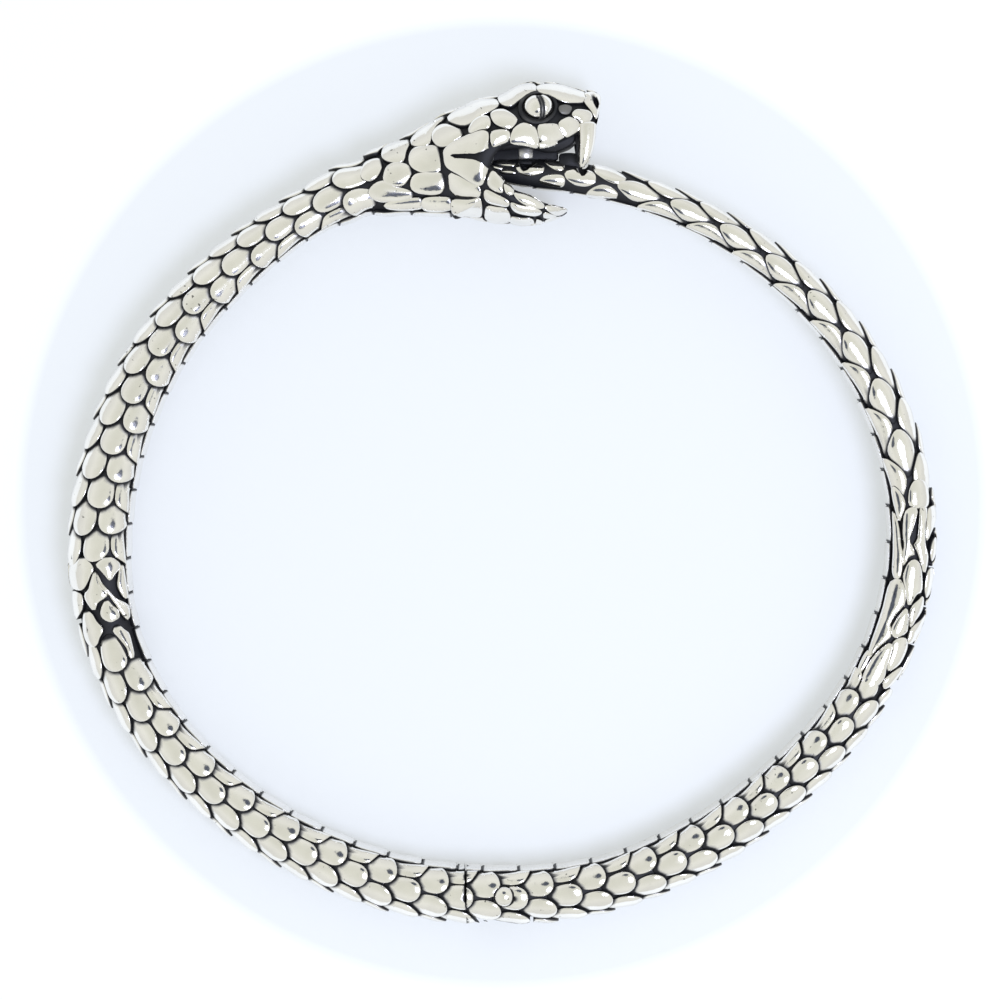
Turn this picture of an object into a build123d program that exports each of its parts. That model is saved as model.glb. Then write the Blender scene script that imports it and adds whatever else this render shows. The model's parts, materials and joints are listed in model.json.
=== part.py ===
from build123d import *
import bisect
import math
import os

# A hinged bangle in cast silver: a snake that bites its own tail. It lies on its side.
# Plan view: +X to the right, +Y towards the head, +Z up. Sizes are in millimetres, angles in degrees.
# The way round starts under the hinge and runs anticlockwise: right side, tail tip, head, left side.

# Band
BAND_LONG = 64.6        # centre line of the band, left to right
BAND_WIDE = 58.0        # centre line of the band, hinge to head
BODY = 4.75             # body beside the hinge, outer scales to flat belly
BODY_HIGH = 5.0         # body beside the hinge, along Z
BELLY_CUT = 0.80        # the flat belly cuts the section at this share of its half thickness

# Scales and belly plates
SCALE_PITCH = 4.37      # from scale to scale along a row
PLATE_PITCH = 3.05      # from belly plate to belly plate
GROOVE = 0.50           # depth of the grooves between scales
BASE_DROP = 0.26        # how far a scale's base lies below its free end
PLATE_GROOVE = 0.24     # depth of the grooves between belly plates
SCALE_SHARE = 0.80      # size of a scale's raised edge in its cell
WELD = 0.05             # corners nearer than this are one corner

# Head
HEAD_START = 0.550      # where the head leaves the band, as a share of the way round
HEAD_LONG = 18.5        # from there to the snout
HEAD_TALL = 5.1         # crown above the head's axis
HEAD_WIDE = 7.6         # cheek to cheek, along Z
NECK_BLEND = 2.2        # the band's section turns into the neck's over this length
EYE_R = 1.12
EYE_SOCKET_R = 1.55
EYE_SUNK = 0.55         # the eyeball's centre under the head's side
SOCKET_RAISED = 0.25    # the socket's centre over the head's side
NOSTRIL_R = 0.38
NOSTRIL_SUNK = 0.05     # the nostril's centre under the head's side
FANG_LONG = 2.9         # from the lip's edge
FANG_ROOT = 0.7         # sunk in the jaw
FANG_BACK = 0.95        # how far the tip curves back
FANG_R = 0.80           # at its base, in plan
FANG_TIP_R = 0.17
FANG_FLAT = 0.8         # its thickness along Z as a share of that in plan
PALATE_DEEP = 1.0       # hollow of the roof of the mouth above the lips
LIP_THICK = 1.3

# Clasp
TAB_LONG = 1.15         # catch tab, along the mouth
TAB_THICK = 0.90        # along Z
CLASP_GAP = 0.16        # running clearance between head and tail
NOTCH_R = 0.42          # notch in the tail under the fangs

# Hinge
HINGE_GAP = 0.14        # seam between the two arms
PIN_R = 0.55
PIN_HEAD_R = 0.78
PIN_DOME = 0.32
PIN_RIM = 0.25          # straight edge of its heads under the dome
PIN_FIT = 0.02          # pin in the fork
PIN_PLAY = 0.05         # pin in the tongue
TONGUE_THICK = 1.80
FORK_PLAY = 0.07        # tongue in the fork, each side
TONGUE_MARGIN = 0.22    # tongue inside the body's outline
TONGUE_ROOT = 1.2       # tongue sunk in the head arm
SLOT_DEEPER = 0.20      # fork slot past the tongue's end
BARREL_MARGIN = 0.62    # round fork end outside the body's half thickness

# Sections of the band, as shares: way round, thickness of BODY, shift outward of BODY
BAND = (
    (0.000, 1.00, -0.05),
    (0.042, 0.97, -0.04),
    (0.083, 0.97, -0.11),
    (0.125, 0.94, -0.16),
    (0.166, 0.89, -0.11),
    (0.208, 0.86, -0.02),
    (0.250, 0.85, 0.02),
    (0.291, 0.81, 0.01),
    (0.332, 0.76, -0.01),
    (0.374, 0.68, -0.04),
    (0.415, 0.60, -0.04),
    (0.457, 0.54, -0.03),
    (0.478, 0.49, -0.01),
    (0.492, 0.42, 0.02),
    (0.505, 0.32, 0.06),
    (0.565, 1.00, 0.05),
    (0.581, 0.86, 0.02),
    (0.623, 0.92, -0.08),
    (0.664, 0.99, -0.11),
    (0.706, 1.04, -0.11),
    (0.748, 1.08, -0.05),
    (0.789, 1.02, 0.04),
    (0.831, 0.97, 0.04),
    (0.872, 0.95, -0.01),
    (0.914, 0.97, -0.03),
    (0.955, 1.00, -0.02),
    (1.000, 1.00, -0.05),
)

# Sections of the neck and upper head, as shares: along HEAD_LONG, top and bottom of HEAD_TALL from the
# head's axis, half width of HEAD_WIDE, and where the flat underside cuts the section
HEAD = (
    (0.000, 0.62, -0.45, 0.340, 0.80),
    (0.130, 0.68, -0.56, 0.365, 0.80),
    (0.250, 0.79, -0.62, 0.400, 0.75),
    (0.335, 0.87, -0.45, 0.450, 0.62),
    (0.405, 0.90, -0.20, 0.480, 0.50),
    (0.475, 0.95, 0.01, 0.500, 0.42),
    (0.530, 0.94, 0.12, 0.497, 0.36),
    (0.600, 0.94, 0.09, 0.485, 0.34),
    (0.655, 1.00, 0.00, 0.470, 0.34),
    (0.720, 1.00, -0.05, 0.440, 0.34),
    (0.790, 0.93, -0.02, 0.395, 0.34),
    (0.850, 0.83, 0.04, 0.345, 0.34),
    (0.910, 0.69, 0.11, 0.290, 0.36),
    (0.960, 0.61, 0.18, 0.235, 0.42),
    (1.000, 0.52, 0.33, 0.150, 0.60),
)

# Sections of the lower jaw, as shares: throat point along HEAD_LONG and off the axis in HEAD_TALL, mouth
# floor point the same, half width of HEAD_WIDE, and where the flat mouth floor cuts the section
JAW = (
    (0.130, -0.36, 0.220, 0.10, 0.230, 0.60),
    (0.262, -0.73, 0.330, 0.12, 0.390, 0.55),
    (0.336, -0.85, 0.410, 0.04, 0.440, 0.50),
    (0.404, -0.98, 0.472, -0.14, 0.465, 0.45),
    (0.474, -1.08, 0.503, -0.37, 0.465, 0.42),
    (0.524, -1.15, 0.536, -0.53, 0.450, 0.40),
    (0.578, -1.20, 0.588, -0.66, 0.420, 0.40),
    (0.627, -1.22, 0.636, -0.84, 0.365, 0.42),
    (0.681, -1.20, 0.689, -0.96, 0.285, 0.45),
    (0.722, -1.15, 0.729, -1.05, 0.170, 0.50),
)

# Rows of scales round the body: degrees from the outward direction, set back in shares of the pitch
BAND_ROWS = ((0, 0.5), (30, 0.0), (60, 0.5), (87, 0.0), (112, 0.5), (135, 0.0))
TAIL_ROWS = ((0, 0.0), (42, 0.5), (85, 0.0), (126, 0.5))
HEAD_ARM_PHASE = 0.5735     # a scale of the row beside the outermost stands here, share of the way round
TAIL_ARM_PHASE = 0.0262
TAIL_PHASE = 0.3530

# Where the carved soldered joints lie, as shares of the way round
LEFT_JOIN = (0.762, 0.808)
RIGHT_JOIN = (0.188, 0.264)

# Long carved plates of the right joint: share of the joint, degrees from outward, weight in shares of pitch
JOIN_PLATES = (
    (0.08, 20, 0.3), (0.05, 62, 0.2), (0.12, 98, 0.3), (0.10, 132, 0.2),
    (0.38, 45, 0.4), (0.34, 80, 0.3), (0.42, 118, 0.3),
    (0.66, 12, 0.3), (0.62, 68, 0.4), (0.70, 100, 0.3), (0.66, 134, 0.2),
    (0.92, 42, 0.3), (0.95, 84, 0.2), (0.90, 122, 0.3),
)

# Plates of the head's side, as shares: along HEAD_LONG, off the axis in HEAD_TALL, weight in shares of pitch
HEAD_PLATES = (
    (0.937, 0.50, 0.25), (0.965, 0.36, 0.20), (0.845, 0.86, 0.45), (0.705, 0.98, 0.55),
    (0.560, 0.92, 0.50), (0.440, 0.87, 0.40), (0.735, 0.52, 0.50), (0.845, 0.48, 0.15),
    (0.573, 0.57, 0.30), (0.472, 0.61, 0.25), (0.905, 0.26, 0.20), (0.842, 0.22, 0.20),
    (0.757, 0.16, 0.25), (0.640, 0.20, 0.25), (0.537, 0.28, 0.20), (0.390, 0.33, 0.40),
    (0.331, 0.57, 0.30), (0.210, 0.29, 0.30), (0.209, 0.65, 0.30), (0.300, 0.80, 0.25),
    (0.100, 0.42, 0.20), (0.071, 0.10, 0.20), (0.176, -0.10, 0.25), (0.290, -0.36, 0.30),
    (0.075, -0.28, 0.15), (0.120, 0.62, 0.20),
)

# Plates of the lower jaw: share of its length, degrees from the throat, weight in shares of pitch
JAW_PLATES = (
    (0.16, 92, 0.3), (0.18, 40, 0.2), (0.42, 104, 0.4), (0.44, 68, 0.2), (0.42, 0, 0.4), (0.60, 100, 0.2),
    (0.62, 62, 0.2), (0.64, 0, 0.4), (0.76, 100, 0.2), (0.78, 58, 0.2), (0.82, 0, 0.3), (0.92, 80, 0.2),
)

# Places seen from the side, as shares: along HEAD_LONG and off the axis in HEAD_TALL
EYE_AT = (0.735, 0.565)
NOSTRIL_AT = (0.978, 0.45)
FANG_AT = (0.892, 0.06)
TAB_AT = (0.623, -0.17)     # middle and lowest edge of the catch tab
BITE_AT = (0.850, -0.49)    # where the fangs meet the tail
ROOF = (0.49, 0.86)         # start and end of the hollow roof of the mouth
CORNER = 0.4675             # corner of the mouth, where the tail's tip lies
JOIN_WOBBLE = 0.35          # how far the scales stray at the left joint
JAW_DROP = 0.10             # drop of a jaw plate's base

HALF_LONG = BAND_LONG / 2
HALF_WIDE = BAND_WIDE / 2
DOWN = -math.pi / 2
SIDE = math.acos(-BELLY_CUT) * BODY / (1 + BELLY_CUT)   # run of the side, outermost line to belly edge
TAIL_END = 0.505            # the last row of BAND for the tail


def centre_line(steps=1440):
    """Distances and angles along the centre ellipse, from the hinge side and anticlockwise."""
    way = [0.0]
    turn = [DOWN]
    last = (0.0, -HALF_WIDE)
    for i in range(1, steps + 1):
        angle = DOWN + 2 * math.pi * i / steps
        point = (HALF_LONG * math.cos(angle), HALF_WIDE * math.sin(angle))
        way.append(way[-1] + math.dist(point, last))
        turn.append(angle)
        last = point
    return way, turn


WAY, TURN = centre_line()
ROUND = WAY[-1]             # length of the centre line


def band_frame(s):
    """A point of the centre line, the direction of travel and the outward direction, all in plan."""
    s = s % ROUND
    i = min(max(bisect.bisect_right(WAY, s) - 1, 0), len(WAY) - 2)
    share = (s - WAY[i]) / (WAY[i + 1] - WAY[i])
    angle = TURN[i] + share * (TURN[i + 1] - TURN[i])
    run = (-HALF_LONG * math.sin(angle), HALF_WIDE * math.cos(angle))
    size = math.hypot(*run)
    run = (run[0] / size, run[1] / size)
    return (HALF_LONG * math.cos(angle), HALF_WIDE * math.sin(angle)), run, (run[1], -run[0])


HEAD_WAY = HEAD_START * ROUND
HEAD_POINT, HEAD_RUN, HEAD_OUT = band_frame(HEAD_WAY)


def head_point(along, out):
    """A point in plan, from millimetres along the head's axis and outward from it."""
    x = HEAD_POINT[0] - along * HEAD_RUN[0] + out * HEAD_OUT[0]
    y = HEAD_POINT[1] - along * HEAD_RUN[1] + out * HEAD_OUT[1]
    return (x, y)


def smooth(table, x):
    """All the columns of a table at x, on a smooth curve through its rows."""
    keys = [row[0] for row in table]
    i = min(max(bisect.bisect_right(keys, x) - 1, 0), len(table) - 2)
    x0, x1 = keys[i], keys[i + 1]
    t = min(max((x - x0) / (x1 - x0), 0.0), 1.0)
    before = table[max(i - 1, 0)]
    after = table[min(i + 2, len(table) - 1)]
    values = []
    for a, p, q, b in zip(before[1:], table[i][1:], table[i + 1][1:], after[1:]):
        slope_p = (q - a) / (x1 - before[0]) * (x1 - x0)
        slope_q = (b - p) / (after[0] - x0) * (x1 - x0)
        h = t * t * (3 - 2 * t)
        values.append(p + (q - p) * h + slope_p * t * (1 - t) ** 2 - slope_q * t * t * (1 - t))
    return values


def oval(centre, out, thick, high, cut):
    """A section: its centre and outward direction in plan, half thickness, half height, belly cut."""
    return {"centre": centre, "out": out, "thick": thick, "high": high, "cut": cut,
            "edge": math.acos(-cut)}


def band_section(s, stretch=1.0):
    """The section of the band's body at a distance along the centre line."""
    size, shift = smooth(BAND, (s * stretch / ROUND) % 1.0)
    point, run, out = band_frame(s)
    thick = size * BODY / (1 + BELLY_CUT)
    move = shift * BODY
    centre = (point[0] + out[0] * move, point[1] + out[1] * move)
    return oval(centre, out, thick, size * BODY_HIGH / 2, BELLY_CUT)


def head_section(s):
    """The section of the head half: band, then neck and upper head past the head's start."""
    if s >= HEAD_WAY + NECK_BLEND:
        return band_section(s)
    top, bottom, half, cut = smooth(HEAD, max(HEAD_WAY - s, 0.0) / HEAD_LONG)
    thick = (top - bottom) * HEAD_TALL / (1 + cut)
    out = bottom * HEAD_TALL + thick * cut
    if s < HEAD_WAY:
        return oval(head_point(HEAD_WAY - s, out), HEAD_OUT, thick, half * HEAD_WIDE, cut)
    other = band_section(s)
    t = (s - HEAD_WAY) / NECK_BLEND
    t = t * t * (3 - 2 * t)
    point, _, outward = band_frame(s)
    centre = [point[i] + outward[i] * out for i in (0, 1)]
    centre = [a + (b - a) * t for a, b in zip(centre, other["centre"])]
    high = half * HEAD_WIDE
    return oval(centre, outward, thick + (other["thick"] - thick) * t,
                high + (other["high"] - high) * t, cut + (other["cut"] - cut) * t)


def jaw_way():
    """The lower jaw's table with its rows placed by distance along the middle of the jaw."""
    rows = []
    run = 0.0
    for row in JAW:
        throat = head_point(row[0] * HEAD_LONG, row[1] * HEAD_TALL)
        floor = head_point(row[2] * HEAD_LONG, row[3] * HEAD_TALL)
        middle = ((throat[0] + floor[0]) / 2, (throat[1] + floor[1]) / 2)
        if rows:
            run += math.dist(middle, last)
        rows.append((run, *throat, *floor, row[4] * HEAD_WIDE, row[5]))
        last = middle
    return rows


JAW_ROWS = jaw_way()
JAW_LONG = JAW_ROWS[-1][0]


def jaw_section(x):
    """The section of the lower jaw at a distance along it; its flat faces the mouth."""
    tx, ty, fx, fy, half, cut = smooth(JAW_ROWS, x)
    tall = math.dist((tx, ty), (fx, fy))
    out = ((tx - fx) / tall, (ty - fy) / tall)
    thick = tall / (1 + cut)
    centre = (tx - out[0] * thick, ty - out[1] * thick)
    return oval(centre, out, thick, half, cut)


def side_point(section, x, y, depth):
    """A point of the scaled side: distance along, run from the outermost line, depth under the surface."""
    cut = section(x)
    depth = depth * min(1.0, cut["thick"] / 2.0)
    angle = y / SIDE * cut["edge"]
    reach = (cut["thick"] - depth) * math.cos(angle)
    return (cut["centre"][0] + cut["out"][0] * reach, cut["centre"][1] + cut["out"][1] * reach,
            (cut["high"] - depth) * math.sin(angle))


def belly_point(section, x, across, depth):
    """A point of the flat belly: distance along, place across from 1 to -1, depth under the surface."""
    cut = section(x)
    depth = depth * min(1.0, cut["thick"] / 2.0)
    reach = -(cut["thick"] - depth) * cut["cut"]
    return (cut["centre"][0] + cut["out"][0] * reach, cut["centre"][1] + cut["out"][1] * reach,
            (cut["high"] - depth) * math.sin(cut["edge"]) * across)


def clip(shape, a, b, c):
    """The part of a convex outline where a x + b y is at most c."""
    kept = []
    for p, q in zip(shape, shape[1:] + shape[:1]):
        p_over = a * p[0] + b * p[1] - c
        q_over = a * q[0] + b * q[1] - c
        if p_over <= 0:
            kept.append(p)
        if (p_over < 0 < q_over) or (q_over < 0 < p_over):
            t = p_over / (p_over - q_over)
            kept.append((p[0] + (q[0] - p[0]) * t, p[1] + (q[1] - p[1]) * t))
    return kept


def cells(centres, start, end):
    """Shares the unrolled side out among the plates: each gets what lies nearest to its centre."""
    found = []
    for x, y, weight in centres:
        shape = [(start, -SIDE), (end, -SIDE), (end, SIDE), (start, SIDE)]
        for u, v, other in centres:
            if (u, v) == (x, y) or abs(u - x) > 3 * SCALE_PITCH:
                continue
            limit = (u * u + v * v - x * x - y * y - other * other + weight * weight) / 2
            shape = clip(shape, u - x, v - y, limit)
            if len(shape) < 3:
                break
        if len(shape) >= 3:
            found.append(((x, y), shape))
    return found


class Skin:
    """Corners and triangles of a closed surface."""

    def __init__(self, section):
        self.section = section
        self.points = []
        self.faces = []
        self.known = {}
        self.grid = {}

    def weld(self, x, y):
        """The corner already placed near this spot of the unrolled side, or this spot."""
        if abs(abs(y) - SIDE) < WELD:
            y = math.copysign(SIDE, y)
        home = (round(x / WELD), round(y / WELD))
        for i in (-1, 0, 1):
            for j in (-1, 0, 1):
                spot = self.grid.get((home[0] + i, home[1] + j))
                if spot and math.dist(spot, (x, y)) < WELD:
                    return spot
        self.grid[home] = (x, y)
        return (x, y)

    def add(self, point):
        self.points.append(point)
        return len(self.points) - 1

    def side_corner(self, spot):
        if spot not in self.known:
            self.known[spot] = self.add(side_point(self.section, *spot, GROOVE))
        return self.known[spot]

    def ring(self, outer, inner):
        """Joins two loops with as many corners each."""
        n = len(outer)
        for i in range(n):
            j = (i + 1) % n
            self.faces.append((outer[i], outer[j], inner[j]))
            self.faces.append((outer[i], inner[j], inner[i]))

    def fan(self, loop, middle):
        for i, corner in enumerate(loop):
            self.faces.append((corner, loop[(i + 1) % len(loop)], middle))

    def solid(self):
        faces = []
        for loop in self.faces:
            corners = [self.points[i] for i in loop]
            faces.append(Face(Wire.make_polygon(corners)))
        return Solid(Shell(faces))


def edge_runs(skin, shapes, breaks):
    """The corners along both belly edges, with the belly plates' ends among them."""
    runs = {}
    for edge in (SIDE, -SIDE):
        spots = {spot for _, shape in shapes for spot in shape if spot[1] == edge}
        for x in breaks:
            near = [spot for spot in spots if abs(spot[0] - x) < 3 * WELD]
            if not near:
                spots.add((x, edge))
        runs[edge] = sorted(spots)
    return runs


def full_shape(shape, runs):
    """A cell's outline with every corner that lies on a belly edge put in."""
    whole = []
    for p, q in zip(shape, shape[1:] + shape[:1]):
        whole.append(p)
        if p[1] == q[1] and abs(p[1]) == SIDE:
            low, high = sorted((p[0], q[0]))
            between = [spot for spot in runs[p[1]] if low < spot[0] < high]
            whole.extend(between if q[0] > p[0] else between[::-1])
    return whole


def scale_top(skin, spot, middle, reach, base):
    """A corner of a scale's raised edge: low at its base and high at its free end."""
    x = middle[0] + (spot[0] - middle[0]) * SCALE_SHARE
    y = middle[1] + (spot[1] - middle[1]) * SCALE_SHARE
    back = min(max(0.5 - (x - middle[0]) / (2 * reach), 0.0), 1.0)
    return skin.add(side_point(skin.section, x, y, base * back * back))


def skin_body(section, start, end, centres, plate_pitch, base):
    """A closed solid along a body, with a raised plate round each centre and plates on its belly."""
    skin = Skin(section)
    shapes = []
    for middle, shape in cells(centres, start, end):
        loop = []
        for x, y in shape:
            spot = skin.weld(x, y)
            if not loop or spot != loop[-1]:
                loop.append(spot)
        if loop[0] == loop[-1]:
            loop.pop()
        if len(loop) >= 3:
            shapes.append((middle, loop))
    count = max(round((end - start) / plate_pitch), 1)
    breaks = [start + (end - start) * i / count for i in range(count + 1)]
    runs = edge_runs(skin, shapes, breaks)
    for middle, shape in shapes:
        whole = full_shape(shape, runs)
        x_mid = sum(x for x, _ in shape) / len(shape)
        y_mid = sum(y for _, y in shape) / len(shape)
        reach = max(abs(x - x_mid) for x, _ in shape)
        outer = [skin.side_corner(spot) for spot in whole]
        inner = [scale_top(skin, spot, (x_mid, y_mid), reach, base) for spot in whole]
        skin.ring(outer, inner)
        skin.fan(inner, skin.add(side_point(section, x_mid, y_mid, 0.0)))
    for a, b in zip(breaks, breaks[1:]):
        plate(skin, runs, a, b)
    for x, order in ((start, 1), (end, -1)):
        rim = sorted((spot for spot in skin.known if spot[0] == x), key=lambda spot: spot[1])
        loop = [skin.known[spot] for spot in rim][::order]
        cut = section(x)
        skin.fan(loop, skin.add((*cut["centre"], 0.0)))
    return skin.solid()


def plate(skin, runs, a, b):
    """One raised plate of the flat belly between two distances along the body."""
    loop = []
    for edge, across in ((SIDE, 1), (-SIDE, -1)):
        first = min(runs[edge], key=lambda spot: abs(spot[0] - a))
        last = min(runs[edge], key=lambda spot: abs(spot[0] - b))
        line = [(spot, across) for spot in runs[edge] if first[0] <= spot[0] <= last[0]]
        loop.extend(line if across > 0 else line[::-1])
    middle = (a + b) / 2
    outer = [skin.side_corner(spot) for spot, _ in loop]
    inner = []
    for spot, across in loop:
        x = middle + (spot[0] - middle) * SCALE_SHARE
        depth = GROOVE - PLATE_GROOVE
        inner.append(skin.add(belly_point(skin.section, x, across * 0.9, depth)))
    skin.ring(outer, inner)
    skin.fan(inner, skin.add(belly_point(skin.section, middle, 0.0, GROOVE - PLATE_GROOVE)))


def row_centres(rows, origin, start, end, wobble=0.0):
    """Centres of the scales in rows along a stretch of the body, mirrored top and bottom."""
    centres = []
    edge = math.degrees(math.acos(-BELLY_CUT))
    for angle, half in rows:
        y = angle / edge * SIDE
        first = math.ceil((start - origin) / SCALE_PITCH - half)
        last = math.floor((end - origin) / SCALE_PITCH - half)
        for i in range(first, last + 1):
            x = origin + (i + half) * SCALE_PITCH
            shift = wobble * math.sin(7.0 * i + angle)
            for side in ((1, -1) if angle else (1,)):
                centres.append((x + shift, side * (y + shift * 0.5), 0.0))
    return centres


def table_centres(plates, start, end):
    """Centres from a table of shares along a stretch and degrees round it, mirrored top and bottom."""
    centres = []
    edge = math.degrees(math.acos(-BELLY_CUT))
    for share, angle, weight in plates:
        x = start + share * (end - start)
        for side in ((1, -1) if angle else (1,)):
            centres.append((x, side * angle / edge * SIDE, weight * SCALE_PITCH))
    return centres


def head_centres():
    """Centres of the head's plates, from their places seen from the side."""
    centres = []
    for along, out, weight in HEAD_PLATES:
        s = HEAD_WAY - along * HEAD_LONG
        cut = head_section(s)
        point = head_point(along * HEAD_LONG, out * HEAD_TALL)
        rise = sum((point[i] - cut["centre"][i]) * cut["out"][i] for i in (0, 1))
        angle = math.acos(min(max(rise / cut["thick"], -cut["cut"] * 0.98), 0.985))
        for side in (1, -1):
            centres.append((s, side * angle / cut["edge"] * SIDE, weight * SCALE_PITCH))
    return centres


PIN = band_section(0.0)["centre"]
BARREL_R = BODY / 2 + BARREL_MARGIN
TAIL_TIP = HEAD_WAY - CORNER * HEAD_LONG


def tail_section(s):
    """The section of the tail half: the band's table, stretched so that the tip lies in the mouth."""
    return band_section(s, TAIL_END * ROUND / TAIL_TIP)


def block(x0, x1, y0, y1, z0, z1):
    """A box from its lowest to its highest corner."""
    return Pos((x0 + x1) / 2, (y0 + y1) / 2, (z0 + z1) / 2) * Box(x1 - x0, y1 - y0, z1 - z0)


def head_block(along, out, long, tall, z0, z1):
    """A box set along the head's axis, by the middle of its plan and its length and depth there."""
    turn = math.degrees(math.atan2(-HEAD_RUN[1], -HEAD_RUN[0]))
    place = head_point(along, out)
    return Pos(*place, (z0 + z1) / 2) * Rot(0, 0, turn) * Box(long, tall, z1 - z0)


def ball(x, y, z, radius, sides=12, rings=6):
    """A faceted ball."""
    skin = Skin(None)
    loops = []
    for k in range(1, rings):
        tilt = math.pi * k / rings
        loop = []
        for i in range(sides):
            angle = 2 * math.pi * i / sides
            reach = radius * math.sin(tilt)
            loop.append(skin.add((x + reach * math.cos(angle), y + reach * math.sin(angle),
                                  z + radius * math.cos(tilt))))
        loops.append(loop)
    for first, second in zip(loops, loops[1:]):
        skin.ring(first[::-1], second[::-1])
    skin.fan(loops[0], skin.add((x, y, z + radius)))
    skin.fan(loops[-1][::-1], skin.add((x, y, z - radius)))
    return skin.solid()


def horn(path, radii, sides=8):
    """A tapered curved horn through a few points, faceted, with flat ends."""
    skin = Skin(None)
    loops = []
    for i, (point, radius) in enumerate(zip(path, radii)):
        a = Vector(*path[max(i - 1, 0)])
        b = Vector(*path[min(i + 1, len(path) - 1)])
        run = (b - a).normalized()
        across = Vector(0, 0, 1)
        up = across.cross(run).normalized()
        across = run.cross(up)
        loop = []
        for k in range(sides):
            angle = 2 * math.pi * k / sides
            spot = Vector(*point) + across * (FANG_FLAT * radius * math.cos(angle))
            spot = spot + up * (radius * math.sin(angle))
            loop.append(skin.add((spot.X, spot.Y, spot.Z)))
        loops.append(loop)
    for first, second in zip(loops, loops[1:]):
        skin.ring(first[::-1], second[::-1])
    skin.fan(loops[0], skin.add(path[0]))
    skin.fan(loops[-1][::-1], skin.add(path[-1]))
    return skin.solid()


def fangs():
    """Two curved fangs, one on each side of the tail."""
    tail_high = tail_section(HEAD_WAY - BITE_AT[0] * HEAD_LONG)["high"]
    spread = tail_high + CLASP_GAP + 0.5 * FANG_FLAT * FANG_R
    along, lip = FANG_AT[0] * HEAD_LONG, FANG_AT[1] * HEAD_TALL
    pair = []
    for side in (1, -1):
        path = [(*head_point(along, lip + FANG_ROOT), side * spread)]
        radii = [FANG_R]
        for i in range(6):
            share = i / 5
            back = FANG_BACK * (1.3 * share ** 3 - 0.3 * share)
            path.append((*head_point(along - back, lip - share * FANG_LONG), side * spread))
            radii.append(FANG_TIP_R + (FANG_R - FANG_TIP_R) * (1 - share ** 1.3))
        pair.append(horn(path, radii))
    return pair


def side_high(place):
    """A place given seen from the side: its point in plan and the head's half height there."""
    along, out = place[0] * HEAD_LONG, place[1] * HEAD_TALL
    cut = head_section(HEAD_WAY - along)
    point = head_point(along, out)
    rise = sum((point[i] - cut["centre"][i]) * cut["out"][i] for i in (0, 1)) / cut["thick"]
    return point, cut["high"] * math.sqrt(1 - rise * rise)


def pin_seat():
    """Height of the flat seats under the pin's heads."""
    return tail_section(0.0)["high"] - GROOVE


def make_head_arm():
    start = HEAD_WAY - HEAD_LONG
    end = ROUND + PIN[0]
    origin = HEAD_ARM_PHASE * ROUND
    left, right = LEFT_JOIN[0] * ROUND, LEFT_JOIN[1] * ROUND
    centres = row_centres(BAND_ROWS, origin, HEAD_WAY, left)
    centres += row_centres(BAND_ROWS, origin, left, right, JOIN_WOBBLE)
    centres += row_centres(BAND_ROWS, origin, right, end + SCALE_PITCH)
    centres += head_centres()
    arm = skin_body(head_section, start, end, centres, PLATE_PITCH, BASE_DROP)
    jaw_plates = table_centres(JAW_PLATES, 0.0, JAW_LONG)
    arm = arm + skin_body(jaw_section, 0.0, JAW_LONG, jaw_plates, JAW_LONG, JAW_DROP)

    roof_start, roof_end = ROOF[0] * HEAD_LONG, ROOF[1] * HEAD_LONG
    roof_half = HEAD_WIDE / 2 - LIP_THICK
    arm = arm - head_block((roof_start + roof_end) / 2, 0.0, roof_end - roof_start, 2 * PALATE_DEEP,
                           -roof_half, roof_half)
    arm = arm - tail_pocket()

    eye, eye_high = side_high(EYE_AT)
    nose, nose_high = side_high(NOSTRIL_AT)
    for side in (1, -1):
        arm = arm - ball(*eye, side * (eye_high + SOCKET_RAISED), EYE_SOCKET_R)
        arm = arm + ball(*eye, side * (eye_high - EYE_SUNK), EYE_R)
        arm = arm - ball(*nose, side * (nose_high - NOSTRIL_SUNK), NOSTRIL_R, 8, 4)
    for fang in fangs():
        arm = arm + fang
    arm = arm + catch_tab()

    gap_r = BARREL_R + HINGE_GAP
    arm = arm - block(PIN[0] - gap_r, PIN[0] + BODY, PIN[1], PIN[1] + BODY, -BODY_HIGH, BODY_HIGH)
    arm = arm - Pos(*PIN, 0) * Cylinder(gap_r, 2 * BODY_HIGH)
    tongue_r = BODY / 2 - TONGUE_MARGIN
    tongue = Pos(*PIN, 0) * Cylinder(tongue_r, TONGUE_THICK)
    neck = 0.8 * tongue_r
    tongue += block(PIN[0] - gap_r - TONGUE_ROOT, PIN[0], PIN[1] - neck, PIN[1] + neck,
                    -TONGUE_THICK / 2, TONGUE_THICK / 2)
    arm = arm + tongue
    return arm - Pos(*PIN, 0) * Cylinder(PIN_R + PIN_PLAY, 2 * BODY_HIGH)


def catch_tab():
    """The small tab that hangs from the roof of the mouth over the tail's planed ridge."""
    low = TAB_AT[1] * HEAD_TALL
    high = 2 * PALATE_DEEP
    half = TAB_THICK / 2
    return head_block(TAB_AT[0] * HEAD_LONG, (low + high) / 2, TAB_LONG, high - low, -half, half)


def tail_pocket():
    """Room for the tail's tip in the corner of the mouth, open towards the way it swings out."""
    cut = tail_section(TAIL_TIP)
    wide = cut["high"] + 2 * CLASP_GAP
    tall = cut["thick"] + 2 * CLASP_GAP
    x, y = cut["centre"]
    return block(x - 2 * CLASP_GAP, x + 0.2 * HEAD_LONG, y - tall - CLASP_GAP, y + tall, -wide, wide)


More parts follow.
